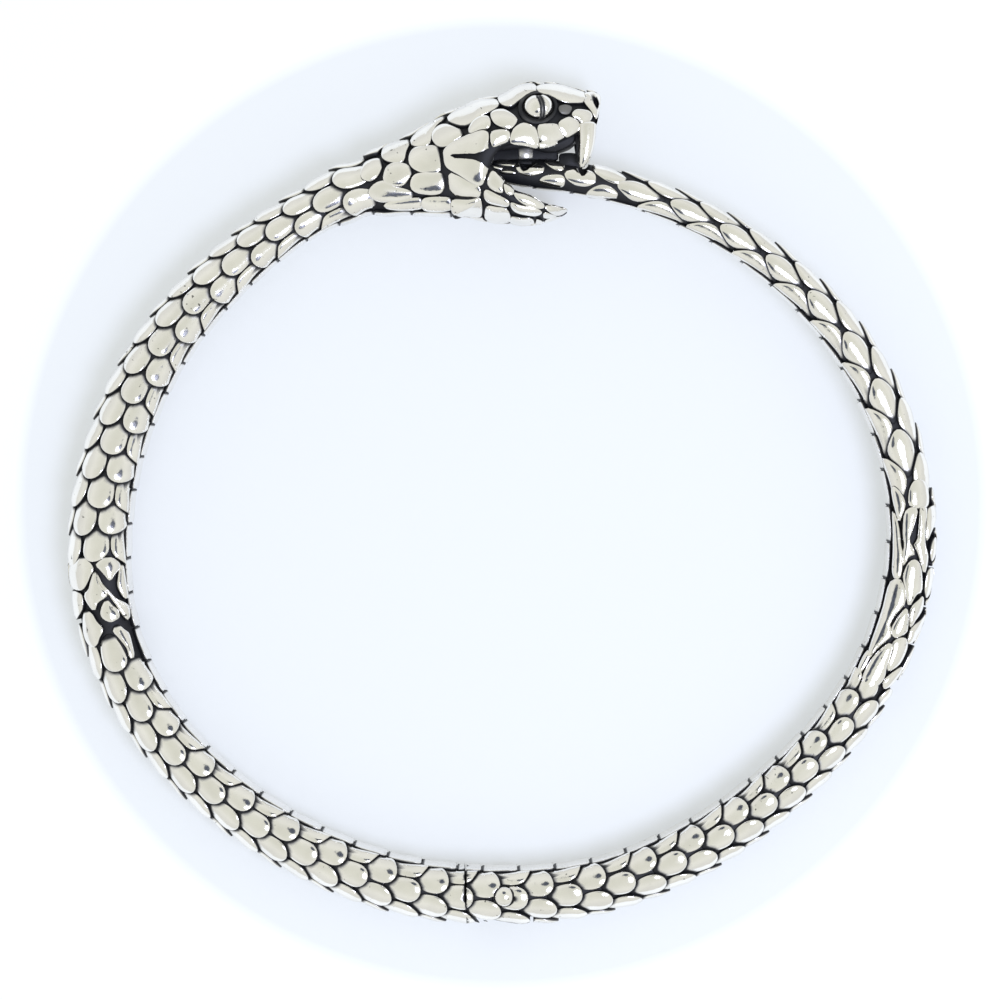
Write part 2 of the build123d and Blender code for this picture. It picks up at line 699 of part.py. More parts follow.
def make_tail_arm():
    start = PIN[0] - BARREL_R - SLOT_DEEPER
    centres = row_centres(BAND_ROWS, TAIL_ARM_PHASE * ROUND, start - SCALE_PITCH, RIGHT_JOIN[0] * ROUND)
    centres += table_centres(JOIN_PLATES, RIGHT_JOIN[0] * ROUND, RIGHT_JOIN[1] * ROUND)
    centres += row_centres(TAIL_ROWS, TAIL_PHASE * ROUND, RIGHT_JOIN[1] * ROUND, TAIL_TIP)
    arm = skin_body(tail_section, start, TAIL_TIP, centres, PLATE_PITCH, BASE_DROP)

    ridge_end = TAB_AT[0] * HEAD_LONG + TAB_LONG / 2 + 2 * CLASP_GAP
    ridge_start = CORNER * HEAD_LONG - BODY / 2
    ridge_half = TAB_THICK / 2 + CLASP_GAP
    low = TAB_AT[1] * HEAD_TALL - CLASP_GAP
    arm = arm - head_block((ridge_start + ridge_end) / 2, low + BODY / 2, ridge_end - ridge_start, BODY,
                           -ridge_half, ridge_half)
    bite = head_point(BITE_AT[0] * HEAD_LONG, BITE_AT[1] * HEAD_TALL)
    arm = arm - Pos(*bite, 0) * Cylinder(NOTCH_R, BODY_HIGH)

    left = PIN[0] - 2 * BODY
    corner = block(left, PIN[0], PIN[1] - 2 * BODY, PIN[1], -BODY_HIGH, BODY_HIGH)
    arm = arm - (corner - Pos(*PIN, 0) * Cylinder(BARREL_R, 2 * BODY_HIGH))
    arm = arm - block(left, PIN[0] - BARREL_R, PIN[1] - 2 * BODY, PIN[1] + 2 * BODY, -BODY_HIGH, BODY_HIGH)
    slot = TONGUE_THICK / 2 + FORK_PLAY
    slot_end = BODY / 2 - TONGUE_MARGIN + SLOT_DEEPER
    arm = arm - block(left, PIN[0] + slot_end, PIN[1] - 2 * BODY, PIN[1] + 2 * BODY, -slot, slot)
    arm = arm - Pos(*PIN, 0) * Cylinder(PIN_R + PIN_FIT, 2 * BODY_HIGH)
    for side in (1, -1):
        arm = arm - Pos(*PIN, side * (pin_seat() + BODY)) * Cylinder(PIN_HEAD_R + PIN_FIT, 2 * BODY)
    return arm


def make_hinge_pin():
    seat = pin_seat() + PIN_FIT
    pin = Pos(*PIN, 0) * Cylinder(PIN_R, 2 * seat)
    ball = (PIN_HEAD_R ** 2 + PIN_DOME ** 2) / (2 * PIN_DOME)
    for side in (1, -1):
        pin = pin + Pos(*PIN, side * (seat + PIN_RIM / 2)) * Cylinder(PIN_HEAD_R, PIN_RIM)
        cap = Pos(*PIN, side * (seat + PIN_RIM + PIN_DOME - ball)) * Sphere(ball)
        pin = pin + (cap & Pos(*PIN, side * (seat + PIN_RIM + PIN_DOME / 2)) * Cylinder(PIN_HEAD_R, PIN_DOME))
    return pin


def resting(parts):
    """Turns the bangle about X until the cheek and the hinge side both touch z = 0, and centres it."""
    cheek = 0.5 * HEAD_WIDE
    foot = band_section(0.0)["high"]
    run = HEAD_POINT[1] - PIN[1]
    lean = math.degrees(math.atan2(cheek - foot, run))
    turned = [Rot(lean, 0, 0) * part for part in parts]
    boxes = [part.bounding_box() for part in turned]
    low = min(box.min.Z for box in boxes)
    x = (min(box.min.X for box in boxes) + max(box.max.X for box in boxes)) / 2
    y = (min(box.min.Y for box in boxes) + max(box.max.Y for box in boxes)) / 2
    print("lean", round(lean, 3), "shift", round(-x, 3), round(-y, 3), round(-low, 3))
    seat = (Pos(-x, -y, -low) * Rot(lean, 0, 0) * Pos(*PIN, 0)).position
    print("pin", round(seat.X, 3), round(seat.Y, 3), round(seat.Z, 3))
    return [Pos(-x, -y, -low) * part for part in turned]


os.makedirs("parts", exist_ok=True)
names = ("head_arm", "tail_arm", "hinge_pin")
solids = resting((make_head_arm(), make_tail_arm(), make_hinge_pin()))
for name, solid in zip(names, solids):
    export_step(solid, f"parts/{name}.step")
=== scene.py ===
import bpy
import json
import math
import numpy as np
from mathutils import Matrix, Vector


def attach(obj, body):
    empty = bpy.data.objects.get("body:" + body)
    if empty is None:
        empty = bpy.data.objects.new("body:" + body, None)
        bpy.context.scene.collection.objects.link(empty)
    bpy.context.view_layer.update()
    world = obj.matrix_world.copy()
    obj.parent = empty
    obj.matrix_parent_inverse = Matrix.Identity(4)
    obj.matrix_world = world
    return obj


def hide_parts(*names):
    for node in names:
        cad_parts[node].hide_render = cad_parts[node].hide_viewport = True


# The looks of a cast silver snake bangle. Plan sizes are in millimetres until the very end, where each point
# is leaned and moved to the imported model's place and turned into metres.

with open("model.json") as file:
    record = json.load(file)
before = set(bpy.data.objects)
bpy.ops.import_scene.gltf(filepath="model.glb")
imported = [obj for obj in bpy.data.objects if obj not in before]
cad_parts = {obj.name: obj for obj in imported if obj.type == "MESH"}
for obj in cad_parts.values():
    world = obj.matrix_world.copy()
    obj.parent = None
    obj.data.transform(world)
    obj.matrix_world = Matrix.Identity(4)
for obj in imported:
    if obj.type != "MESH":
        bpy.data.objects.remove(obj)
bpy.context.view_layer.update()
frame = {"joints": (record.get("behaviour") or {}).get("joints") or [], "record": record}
record = frame["record"]

MOUNT = next(m for m in record["mounts"] if m["name"] == "wrist_opening")
JOINT = next(j for j in frame["joints"] if j["name"] == "bangle_hinge")
CENTRE = np.array(MOUNT["pos_m"]) * 1000
AXIS = JOINT["axis"]
LEAN = math.atan2(AXIS[1], -AXIS[2])

# The same sizes as the solids' source, but the lips, snout, lower jaw and tail tip follow the photograph
# a few tenths of a millimetre closer. Places on the head are shares of its length, from the neck to the
# snout, and of its height, outwards from the band's centre line.
BAND_LONG = 64.6
BAND_WIDE = 58.0
BODY = 4.75
BODY_HIGH = 5.0
BELLY_CUT = 0.80
SCALE_PITCH = 4.37
PLATE_PITCH = 3.05
GROOVE = 0.50
HEAD_START = 0.550
HEAD_LONG = 18.5
HEAD_TALL = 5.1
HEAD_WIDE = 7.6
NECK_BLEND = 2.2
CORNER = 0.4675
TAIL_END = 0.505
BARREL_R = BODY / 2 + 0.62
HINGE_GAP = 0.14
PIN_R = 0.55
PIN_HEAD_R = 0.78
PIN_RIM = 0.25
PIN_DOME = 0.32
TONGUE_THICK = 1.80
TONGUE_R = BODY / 2 - 0.22
FORK_PLAY = 0.07
SLOT_DEEPER = 0.20
CLASP_GAP = 0.16
TAB_AT = (0.623, -0.17)
TAB_LONG = 1.15
TAB_THICK = 0.90
TAB_LOWER = 0.25
PALATE_DEEP = 1.0
THROAT = 0.25           # where the belly plates end under the head
ROOF = (0.49, 0.86)     # the hollow in the roof of the mouth, and how softly it ends
ROOF_END = 0.03
ROOF_RIM = 0.25
EYE_R = 1.18
EYE_SUNK = 0.42
FANG_R = 0.80
FANG_FLAT = 0.8
BITE_AT = (0.850, -0.49)
NOTCH_R = 0.42

# The band: share of its length from the hinge, then thickness and outward shift as shares of BODY
BAND = (
    (0.000, 1.00, -0.050), (0.042, 0.97, -0.040), (0.083, 0.97, -0.110), (0.125, 0.94, -0.160),
    (0.166, 0.89, -0.110), (0.208, 0.86, -0.020), (0.250, 0.85, 0.020), (0.291, 0.81, 0.010),
    (0.332, 0.76, -0.010), (0.374, 0.68, -0.040), (0.415, 0.61, -0.045), (0.457, 0.58, -0.052),
    (0.478, 0.57, -0.054), (0.492, 0.53, -0.045), (0.505, 0.42, 0.000), (0.565, 1.00, 0.050),
    (0.581, 0.86, 0.020), (0.623, 0.92, -0.080), (0.664, 0.99, -0.110), (0.706, 1.04, -0.110),
    (0.748, 1.08, -0.050), (0.789, 1.02, 0.040), (0.831, 0.97, 0.040), (0.872, 0.95, -0.010),
    (0.914, 0.97, -0.030), (0.955, 1.00, -0.020), (1.000, 1.00, -0.050),
)
# The head: share of its length, top, bottom, half its width, and where its flat underside cuts it
HEAD = (
    (0.000, 0.62, -0.47, 0.340, 0.80), (0.130, 0.68, -0.60, 0.365, 0.80), (0.250, 0.79, -0.74, 0.400, 0.72),
    (0.335, 0.87, -0.72, 0.450, 0.62), (0.405, 0.90, -0.56, 0.480, 0.54), (0.440, 0.92, -0.34, 0.492, 0.48),
    (0.475, 0.94, -0.13, 0.500, 0.42), (0.530, 0.93, 0.00, 0.497, 0.36), (0.600, 0.92, -0.02, 0.485, 0.34),
    (0.655, 0.97, -0.10, 0.470, 0.34), (0.720, 0.98, -0.14, 0.440, 0.34), (0.790, 0.91, -0.12, 0.395, 0.34),
    (0.850, 0.81, -0.09, 0.345, 0.34), (0.910, 0.68, -0.06, 0.290, 0.34), (0.940, 0.64, -0.02, 0.255, 0.34),
    (0.960, 0.61, 0.10, 0.225, 0.36), (0.980, 0.57, 0.25, 0.185, 0.40), (1.000, 0.51, 0.40, 0.110, 0.50),
)
# The lower jaw: place of its underside, place of the mouth's floor, half its width, and its cut
JAW = (
    (0.130, -0.36, 0.220, 0.10, 0.230, 0.60), (0.262, -0.75, 0.330, 0.12, 0.390, 0.55),
    (0.336, -0.88, 0.410, 0.04, 0.440, 0.50), (0.404, -1.01, 0.472, -0.16, 0.465, 0.45),
    (0.474, -1.10, 0.503, -0.45, 0.465, 0.42), (0.524, -1.17, 0.536, -0.61, 0.450, 0.40),
    (0.578, -1.21, 0.588, -0.74, 0.420, 0.40), (0.627, -1.23, 0.636, -0.91, 0.365, 0.42),
    (0.681, -1.21, 0.689, -1.02, 0.285, 0.45), (0.729, -1.17, 0.735, -1.09, 0.170, 0.50),
)
# Rows of scales: degrees from the outermost line, and shift along the row as a share of the pitch
BAND_ROWS = ((0, 0.5), (30, 0.0), (60, 0.5), (87, 0.0), (112, 0.5), (135, 0.0))
TAIL_ROWS = ((0, 0.0), (42, 0.5), (85, 0.0), (126, 0.5))
# Where the rows begin, as shares of the whole round, and where the soldered joins lie
HEAD_ARM_PHASE = 0.5735
TAIL_ARM_PHASE = 0.0262
TAIL_PHASE = 0.3530
LEFT_JOIN = (0.762, 0.808)
RIGHT_JOIN = (0.188, 0.264)
JOIN_WOBBLE = 0.35      # how irregularly the scales lie in the left join, in mm
# Spots in the right join: share along it, degrees, and weight. They bound the cells of the rows beside it
JOIN_SPOTS = (
    (0.08, 20, 0.3), (0.05, 62, 0.2), (0.12, 98, 0.3), (0.10, 132, 0.2),
    (0.38, 45, 0.4), (0.34, 80, 0.3), (0.42, 118, 0.3),
    (0.66, 12, 0.3), (0.62, 68, 0.4), (0.70, 100, 0.3), (0.66, 134, 0.2),
    (0.92, 42, 0.3), (0.95, 84, 0.2), (0.90, 122, 0.3),
)
HALF_LONG = BAND_LONG / 2
HALF_WIDE = BAND_WIDE / 2
SIDE = math.acos(-BELLY_CUT) * BODY / (1 + BELLY_CUT)

# Relief of the scales, finer than the solids' own
FLOOR = 0.52            # depth of the blackened floor between the scales
BELLY_FLOOR = 0.30      # the same between the belly plates
JAW_FLOOR = 0.38        # and between the jaw's plates
CORE_INSET = 0.35       # how far the dark core ends inside the snout and the chin
RIM_DROP = 0.17         # how far a scale's edge lies below its crown
BASE_LOW = 0.30         # how far its base end lies below its free end
SKIRT = 0.66            # how deep its walls go, under the floor
FULL_RELIEF = 2.0       # thickness, centre to surface, from which the relief has its full depth
EDGE = SIDE - 0.10      # where the side's scales stop and the wrapped belly plates begin
PAST_EDGE = 0.45        # how far the outlines of the scales there run on over it
FREE_LONG = 1.10        # how far the free end of a scale reaches over the next, as a share of its half
BASE_LONG = 1.50        # how far its base end reaches back under the one behind, likewise
LEAST_AREA = 0.8        # a cell that is smaller gets no scale, in mm2
SCALE_REACH = 4.6       # scales that are farther apart don't shade each other
SHADE_DEEP = 0.10       # height difference over which the shade of a scale gets full
SHADE_GAP = 0.03        # how far it is full, and how far it runs out, from the scale's outline
SHADE_LONG = 0.50
UNEVEN = 0.02           # how far the scales stray from their places
UNEVEN_SIZE = 0.012     # and from their size and height
rng = np.random.default_rng(7)


def angles(count):
    """Even angles round a full turn."""
    return 2 * math.pi * np.arange(count) / count


def unit(rows):
    """Vectors in rows, each made 1 long."""
    return rows / np.linalg.norm(rows, axis=1)[:, None]


def new_object(name, data):
    thing = bpy.data.objects.new(name, data)
    bpy.context.scene.collection.objects.link(thing)
    return thing


def centre_line(steps=2880):
    """The band's oval centre line: the way along it from the hinge, and the angle there."""
    turn = -math.pi / 2 + 2 * math.pi * np.arange(steps + 1) / steps
    points = np.column_stack((HALF_LONG * np.cos(turn), HALF_WIDE * np.sin(turn)))
    way = np.concatenate(([0.0], np.cumsum(np.linalg.norm(np.diff(points, axis=0), axis=1))))
    return way, turn


WAY, TURN = centre_line()
ROUND = WAY[-1]


def band_frame(s):
    """The centre line at s: the point, the direction along it and the direction outwards."""
    angle = float(np.interp(s % ROUND, WAY, TURN))
    run = np.array((-HALF_LONG * math.sin(angle), HALF_WIDE * math.cos(angle)))
    run /= np.linalg.norm(run)
    point = np.array((HALF_LONG * math.cos(angle), HALF_WIDE * math.sin(angle)))
    return point, run, np.array((run[1], -run[0]))


HEAD_WAY = HEAD_START * ROUND
HEAD_POINT, HEAD_RUN, HEAD_OUT = band_frame(HEAD_WAY)
TAIL_TIP = HEAD_WAY - CORNER * HEAD_LONG


def head_point(along, out):
    """A plan point from its millimetres along the head and outwards."""
    return HEAD_POINT - along * HEAD_RUN + out * HEAD_OUT


def smooth(table, x):
    """All the columns of a table at x, on a smooth curve through its rows."""
    keys = [row[0] for row in table]
    i = min(max(int(np.searchsorted(keys, x, side="right")) - 1, 0), len(table) - 2)
    x0, x1 = keys[i], keys[i + 1]
    t = min(max((x - x0) / (x1 - x0), 0.0), 1.0)
    before = table[max(i - 1, 0)]
    after = table[min(i + 2, len(table) - 1)]
    values = []
    for a, p, q, b in zip(before[1:], table[i][1:], table[i + 1][1:], after[1:]):
        slope_p = (q - a) / (x1 - before[0]) * (x1 - x0)
        slope_q = (b - p) / (after[0] - x0) * (x1 - x0)
        h = t * t * (3 - 2 * t)
        values.append(p + (q - p) * h + slope_p * t * (1 - t) ** 2 - slope_q * t * t * (1 - t))
    return values


def band_section(s, stretch=1.0):
    """The section at s: centre, direction outwards, thickness to the centre, half height, belly cut."""
    size, shift = smooth(BAND, (s * stretch / ROUND) % 1.0)
    point, _, out = band_frame(s)
    thick = size * BODY / (1 + BELLY_CUT)
    centre = point + out * shift * BODY
    return (*centre, *out, thick, size * BODY_HIGH / 2, BELLY_CUT)


def head_section(s):
    """The head's section, which blends into the band's over the neck."""
    if s >= HEAD_WAY + NECK_BLEND:
        return band_section(s)
    top, bottom, half, cut = smooth(HEAD, max(HEAD_WAY - s, 0.0) / HEAD_LONG)
    thick = (top - bottom) * HEAD_TALL / (1 + cut)
    out = bottom * HEAD_TALL + thick * cut
    if s < HEAD_WAY:
        return (*head_point(HEAD_WAY - s, out), *HEAD_OUT, thick, half * HEAD_WIDE, cut)
    other = band_section(s)
    t = (s - HEAD_WAY) / NECK_BLEND
    t = t * t * (3 - 2 * t)
    point, _, outward = band_frame(s)
    here = (*(point + outward * out), *outward, thick, half * HEAD_WIDE, cut)
    return tuple(a + (b - a) * t for a, b in zip(here, other))


def jaw_rows():
    """The jaw's table in millimetres, with the way along it in front."""
    rows = []
    run = 0.0
    last = None
    for row in JAW:
        throat = head_point(row[0] * HEAD_LONG, row[1] * HEAD_TALL)
        floor = head_point(row[2] * HEAD_LONG, row[3] * HEAD_TALL)
        middle = (throat + floor) / 2
        if last is not None:
            run += float(np.linalg.norm(middle - last))
        rows.append((run, *throat, *floor, row[4] * HEAD_WIDE, row[5]))
        last = middle
    return rows


JAW_ROWS = jaw_rows()
JAW_LONG = JAW_ROWS[-1][0]


def jaw_section(x):
    """The jaw's section. Its scaled side faces away from the mouth."""
    tx, ty, fx, fy, half, cut = smooth(JAW_ROWS, x)
    tall = math.dist((tx, ty), (fx, fy))
    ox, oy = (tx - fx) / tall, (ty - fy) / tall
    thick = tall / (1 + cut)
    return (tx - ox * thick, ty - oy * thick, ox, oy, thick, half, cut)


def tail_section(s):
    """The tail's section: the band's table, stretched so that it ends at the tip."""
    return band_section(s, TAIL_END * ROUND / TAIL_TIP)


class Body:
    """Sections along a body, tabulated finely, and the points of its side and belly."""

    def __init__(self, section, start, end, step=0.05):
        self.x = np.linspace(start, end, int((end - start) / step) + 2)
        self.rows = np.array([section(v) for v in self.x])

    def at(self, x):
        """The section at x, from the table."""
        return [np.interp(x, self.x, self.rows[:, k]) for k in range(7)]

    def side(self, x, y, depth):
        """Points of the scaled side: way along, run from the outermost line, depth under the surface."""
        cx, cy, ox, oy, thick, high, cut = self.at(x)
        depth = depth * np.minimum(1.0, thick / FULL_RELIEF)
        angle = y / SIDE * np.arccos(-cut)
        reach = (thick - depth) * np.cos(angle)
        return np.column_stack((cx + ox * reach, cy + oy * reach, (high - depth) * np.sin(angle)))

    def belly(self, x, across, depth):
        """Points of the flat belly: way along, place across from 1 to -1, depth under the surface."""
        cx, cy, ox, oy, thick, high, cut = self.at(x)
        depth = depth * np.minimum(1.0, thick / FULL_RELIEF)
        reach = -(thick - depth) * cut
        z = (high - depth) * np.sqrt(1 - cut * cut) * across
        return np.column_stack((cx + ox * reach, cy + oy * reach, z))

    def around(self, x, across, depth):
        """The belly and, past 1 across, a strip of the side next to it, where the belly plates wrap over."""
        flat = self.belly(x, np.clip(across, -1, 1), depth)
        _, _, _, _, _, high, cut = self.at(x)
        past = np.maximum(np.abs(across) - 1, 0) * high * np.sqrt(1 - cut * cut)
        return np.where((past > 0)[:, None], self.side(x, np.sign(across) * (SIDE - past), depth), flat)

    def place(self, x, y):
        """The unrolled place of a plan point on the upper side: way along and run from the outermost line."""
        gap = np.array((x, y)) - self.rows[:, :2]
        off = gap[:, 0] * self.rows[:, 3] - gap[:, 1] * self.rows[:, 2]
        other_side = np.hypot(*gap.T) > self.rows[:, 4] * 1.8     # sections across the ring are out of reach
        i = int(np.argmin(np.abs(off) + other_side * BAND_LONG))
        row = self.rows[i]
        rise = (gap[i, 0] * row[2] + gap[i, 1] * row[3]) / row[4]
        angle = math.acos(min(max(rise, -row[6]), 1.0))
        return self.x[i], angle / math.acos(-row[6]) * SIDE, row[5] * math.sin(angle)


LENS_AWAY = 225.0       # the photograph's viewpoint above the middle of the body, in mm
SCALE = 0.08            # mm to a pixel there
MIDDLE_PIXEL = 500      # the photograph's middle, straight under the lens
ORIGIN_PIXEL = (504, 534)


def photo_plan(px, py, z):
    """The plan place of a spot seen in the photograph, at the height z over the leaning bangle's plane."""
    y = 0.0
    for _ in range(3):
        high = y * math.sin(LEAN) + z * math.cos(LEAN)
        k = (LENS_AWAY - high) / LENS_AWAY
        down = (MIDDLE_PIXEL - py) * k - MIDDLE_PIXEL + ORIGIN_PIXEL[1]
        y = (down * SCALE + z * math.sin(LEAN)) / math.cos(LEAN)
    return ((px - MIDDLE_PIXEL) * k + MIDDLE_PIXEL - ORIGIN_PIXEL[0]) * SCALE, y


def photo_outline(pixels, z):
    """A plan outline from the photograph's pixels."""
    return [photo_plan(px, py, z) for px, py in pixels]


def photo_spot(body, px, py):
    """The unrolled place on a body that the photograph shows at a pixel."""
    z = BODY_HIGH / 2
    for _ in range(4):
        x, y, z = body.place(*photo_plan(px, py, z))
    return x, y


def facing_up(shape):
    """The outline, turned round if it runs clockwise seen from above."""
    x, y = np.array(shape).T
    area = (x * np.roll(y, -1) - np.roll(x, -1) * y).sum()
    return shape if area > 0 else shape[::-1]


def clip(shape, a, b, c):
    """The part of a convex shape where a x + b y is at most c."""
    kept = []
    for p, q in zip(shape, shape[1:] + shape[:1]):
        p_over = a * p[0] + b * p[1] - c
        q_over = a * q[0] + b * q[1] - c
        if p_over <= 0:
            kept.append(p)
        if (p_over < 0 < q_over) or (q_over < 0 < p_over):
            t = p_over / (p_over - q_over)
            kept.append((p[0] + (q[0] - p[0]) * t, p[1] + (q[1] - p[1]) * t))
    return kept


def cells(centres, start, end):
    """Shares the unrolled side out among the plates: each gets what lies nearest to its centre."""
    found = []
    for x, y, weight in centres:
        shape = [(start, -EDGE), (end, -EDGE), (end, EDGE), (start, EDGE)]
        for u, v, other in centres:
            if (u, v) == (x, y) or abs(u - x) > 3 * SCALE_PITCH:
                continue
            limit = (u * u + v * v - x * x - y * y - other * other + weight * weight) / 2
            shape = clip(shape, u - x, v - y, limit)
            if len(shape) < 3:
                break
        if len(shape) >= 3:
            found.append(((x, y), np.array(shape)))
    return found


class Outline:
    """A smooth outline inside a convex cell: round at its free end, drawn out at its base."""

    def __init__(self, middle, normal, away, power):
        self.middle = middle
        self.normal = normal
        self.away = away
        self.power = power

    def share(self, at):
        """How far out the points lie: 0 in the middle, 1 on the outline."""
        off = at - self.middle
        off[:, 0] = np.where(off[:, 0] < 0, off[:, 0] / BASE_LONG, off[:, 0] / FREE_LONG)
        part = np.maximum(off @ self.normal.T, 0.0) / self.away
        return (part ** self.power).sum(axis=1) ** (1 / self.power)

    def loop(self, count):
        """Points on the outline, at even angles round its middle."""
        ray = np.column_stack((np.cos(angles(count)), np.sin(angles(count))))
        return self.middle + ray / self.share(self.middle + ray)[:, None]


TINY = 1e-6
LEAST_AWAY = 0.05


def rounded(shape, margin, power):
    """The outline that fits a convex cell, and the cell's area. It runs on over the side's edge."""
    x, y = shape[:, 0], shape[:, 1]
    nx, ny = np.roll(x, -1), np.roll(y, -1)
    cross = x * ny - nx * y
    area = cross.sum() / 2
    if abs(area) < TINY:
        return None, 0.0
    middle = np.array((((x + nx) * cross).sum(), ((y + ny) * cross).sum())) / (6 * area)
    edge = np.column_stack((nx - x, ny - y))
    length = np.hypot(edge[:, 0], edge[:, 1])
    keep = length > TINY
    normal = np.column_stack((edge[:, 1], -edge[:, 0]))[keep] / length[keep, None]
    if area < 0:
        normal = -normal
    away = ((shape[keep] - middle) * normal).sum(axis=1) - margin
    away = np.maximum(away, LEAST_AWAY)
    over_edge = (shape[keep] * normal).sum(axis=1) > EDGE - 0.01
    away[over_edge & (np.abs(normal[:, 1]) > 0.999)] += PAST_EDGE
    return Outline(middle, normal, away, power), abs(area)


def spline_loop(points, count):
    """A smooth closed loop through given points, evenly divided."""
    points = np.array(points, dtype=float)
    n = len(points)
    fine = []
    for i in range(n):
        a, b, c, d = (points[(i + k) % n] for k in (-1, 0, 1, 2))
        for t in np.linspace(0, 1, 12, endpoint=False):
            fine.append(0.5 * ((2 * b) + (c - a) * t + (2 * a - 5 * b + 4 * c - d) * t ** 2
                               + (3 * b - 3 * c + d - a) * t ** 3))
    fine = np.array(fine)
    step = np.linalg.norm(np.roll(fine, -1, axis=0) - fine, axis=1)
    way = np.concatenate(([0.0], np.cumsum(step)))
    marks = np.linspace(0, way[-1], count, endpoint=False)
    closed = np.vstack((fine, fine[:1]))
    return np.column_stack([np.interp(marks, way, closed[:, k]) for k in (0, 1)])


class Sheet:
    """Points, faces and a tone for each point: 1 is bright silver and 0 black, the oxide of the floor and the
    painted shade.
    """

    def __init__(self):
        self.points = []
        self.tones = []
        self.faces = []
        self.count = 0

    def add(self, points, tones):
        """Adds points with their tones and returns their numbers."""
        points = np.asarray(points, dtype=float).reshape(-1, 3)
        start = self.count
        self.points.append(points)
        self.tones.append(np.broadcast_to(np.asarray(tones, dtype=float), (len(points),)))
        self.count += len(points)
        return list(range(start, self.count))

    def band(self, outer, inner):
        """A strip of faces between two loops of as many points."""
        n = len(outer)
        for i in range(n):
            j = (i + 1) % n
            self.faces.append((outer[i], outer[j], inner[j], inner[i]))

    def fan(self, loop, middle):
        """A loop closed by triangles to one point."""
        n = len(loop)
        for i in range(n):
            self.faces.append((loop[i], loop[(i + 1) % n], middle))

    def tube(self, loops, closed=False):
        """Strips from loop to loop, and a face over each end if it is closed."""
        for a, b in zip(loops, loops[1:]):
            self.band(a, b)
        if closed:
            self.faces.append(tuple(loops[-1]))
            self.faces.append(tuple(reversed(loops[0])))

    def build(self, name):
        """Leans and moves the points to the model's place, in metres, and makes the mesh object."""
        points = np.vstack(self.points)
        c, s = math.cos(LEAN), math.sin(LEAN)
        turn = np.array(((1, 0, 0), (0, c, -s), (0, s, c)))
        world = (points @ turn.T + CENTRE) / 1000
        mesh = bpy.data.meshes.new(name)
        mesh.from_pydata(world.tolist(), [], self.faces)
        mesh.validate()
        mesh.update()
        mesh.polygons.foreach_set("use_smooth", [True] * len(mesh.polygons))
        layer = mesh.attributes.new("tone", "FLOAT", "POINT")
        layer.data.foreach_set("value", np.concatenate(self.tones))
        return new_object(name, mesh)


def ease(x):
    """A smooth step from 0 to 1."""
    x = np.clip(x, 0.0, 1.0)
    return x * x * (3 - 2 * x)


SEAM = 0.05             # half the open seam between two plates
SCUTE_WIDE = 1.05       # half a belly plate across, where 1 is the belly's edge

# Shares of a plate's outline on which its rings of points lie
RINGS = (0.975, 0.92, 0.83, 0.72, 0.55, 0.30)

RISE_LONG = 1.6         # over which part of a scale its base end rises, where the whole is 2
END_FLATTER = 0.35      # how much less its edge drops at the free end
DOMED = 0.52            # the share of that drop that is a dome, the rest is a steep shoulder


def leaf_depth(t, share, tilt, drop, lift):
    """Depth of a scale's top: low at its base (t = -1), high at its free end (t = 1), rounded at its edge."""
    low = BASE_LOW * tilt * (1 - ease((t + 1.0) / RISE_LONG))
    edge = drop * (1 - END_FLATTER * ease(t)) * (DOMED * share ** 2 + (1 - DOMED) * share ** 6)
    return low + edge - lift


# Depth of a plate's dark foot and of its shoulder under its rim, the shoulder's tone, a least half length
FOOT_DEEP = 0.13
SHOULDER_DEEP = 0.03
SHOULDER_TONE = 0.35
LEAST_HALF = 0.2


def leaf(sheet, surface, loop, middle, tilt=1.0, lift=0.0, drop=RIM_DROP, fade=0.45, buried=0.04,
         skirt=SKIRT, shade=None, rings=RINGS):
    """A raised scale with a rounded crown, steep walls and a sunk base end, closed underneath."""
    loop = facing_up(np.asarray(loop))
    middle = np.asarray(middle)
    front = max((loop[:, 0] - middle[0]).max(), LEAST_HALF)
    back = max((middle[0] - loop[:, 0]).max(), LEAST_HALF)

    # The rings of a long plate shrink towards a spine along it, not towards one point
    off = loop - middle
    _, axes = np.linalg.eigh(off.T @ off)
    run = off @ axes[:, 1]
    spine = max(np.abs(run).max() - np.abs(off @ axes[:, 0]).max() * 1.1, 0.0) * 0.8
    hearts = middle + np.clip(run, -spine, spine)[:, None] * axes[:, 1]

    def spots(share):
        return hearts + (loop - hearts) * share

    def along(at):
        """From -1 at the base end to 1 at the free end."""
        off = at[:, 0] - middle[0]
        return np.where(off > 0, off / front, off / back)

    def tone(at, depth):
        """Bright, but darker towards the base end and where a shade is given."""
        value = np.ones(len(at))
        if fade > 0:
            value = ease((along(at) + 1.0 - buried) / fade)
        if shade is not None:
            value = value * shade(at, depth)
        return value

    rim = spots(1.0)
    base = leaf_depth(along(rim), 1.0, tilt, drop, lift)
    foot_deep = np.maximum(base + FOOT_DEEP, base * 0.5 + FLOOR * 0.5)
    under = sheet.add(surface(*rim.T, np.full(len(rim), skirt)), 0.0)
    foot = sheet.add(surface(*rim.T, foot_deep), 0.0)
    shoulder = sheet.add(surface(*rim.T, base + SHOULDER_DEEP), SHOULDER_TONE * tone(rim, base))
    last = shoulder
    sheet.band(under, foot)
    sheet.band(foot, shoulder)
    for share in rings:
        at = spots(share)
        depth = leaf_depth(along(at), share, tilt, drop, lift)
        ring = sheet.add(surface(*at.T, depth), tone(at, depth))
        sheet.band(last, ring)
        last = ring
    top = np.array([middle])
    depth = leaf_depth(along(top), 0.0, tilt, drop, lift)
    peak = sheet.add(surface(*top.T, depth), tone(top, depth))[0]
    sheet.fan(last, peak)
    hub = sheet.add(surface(*top.T, np.array([skirt])), 0.0)[0]
    sheet.fan(under[::-1], hub)


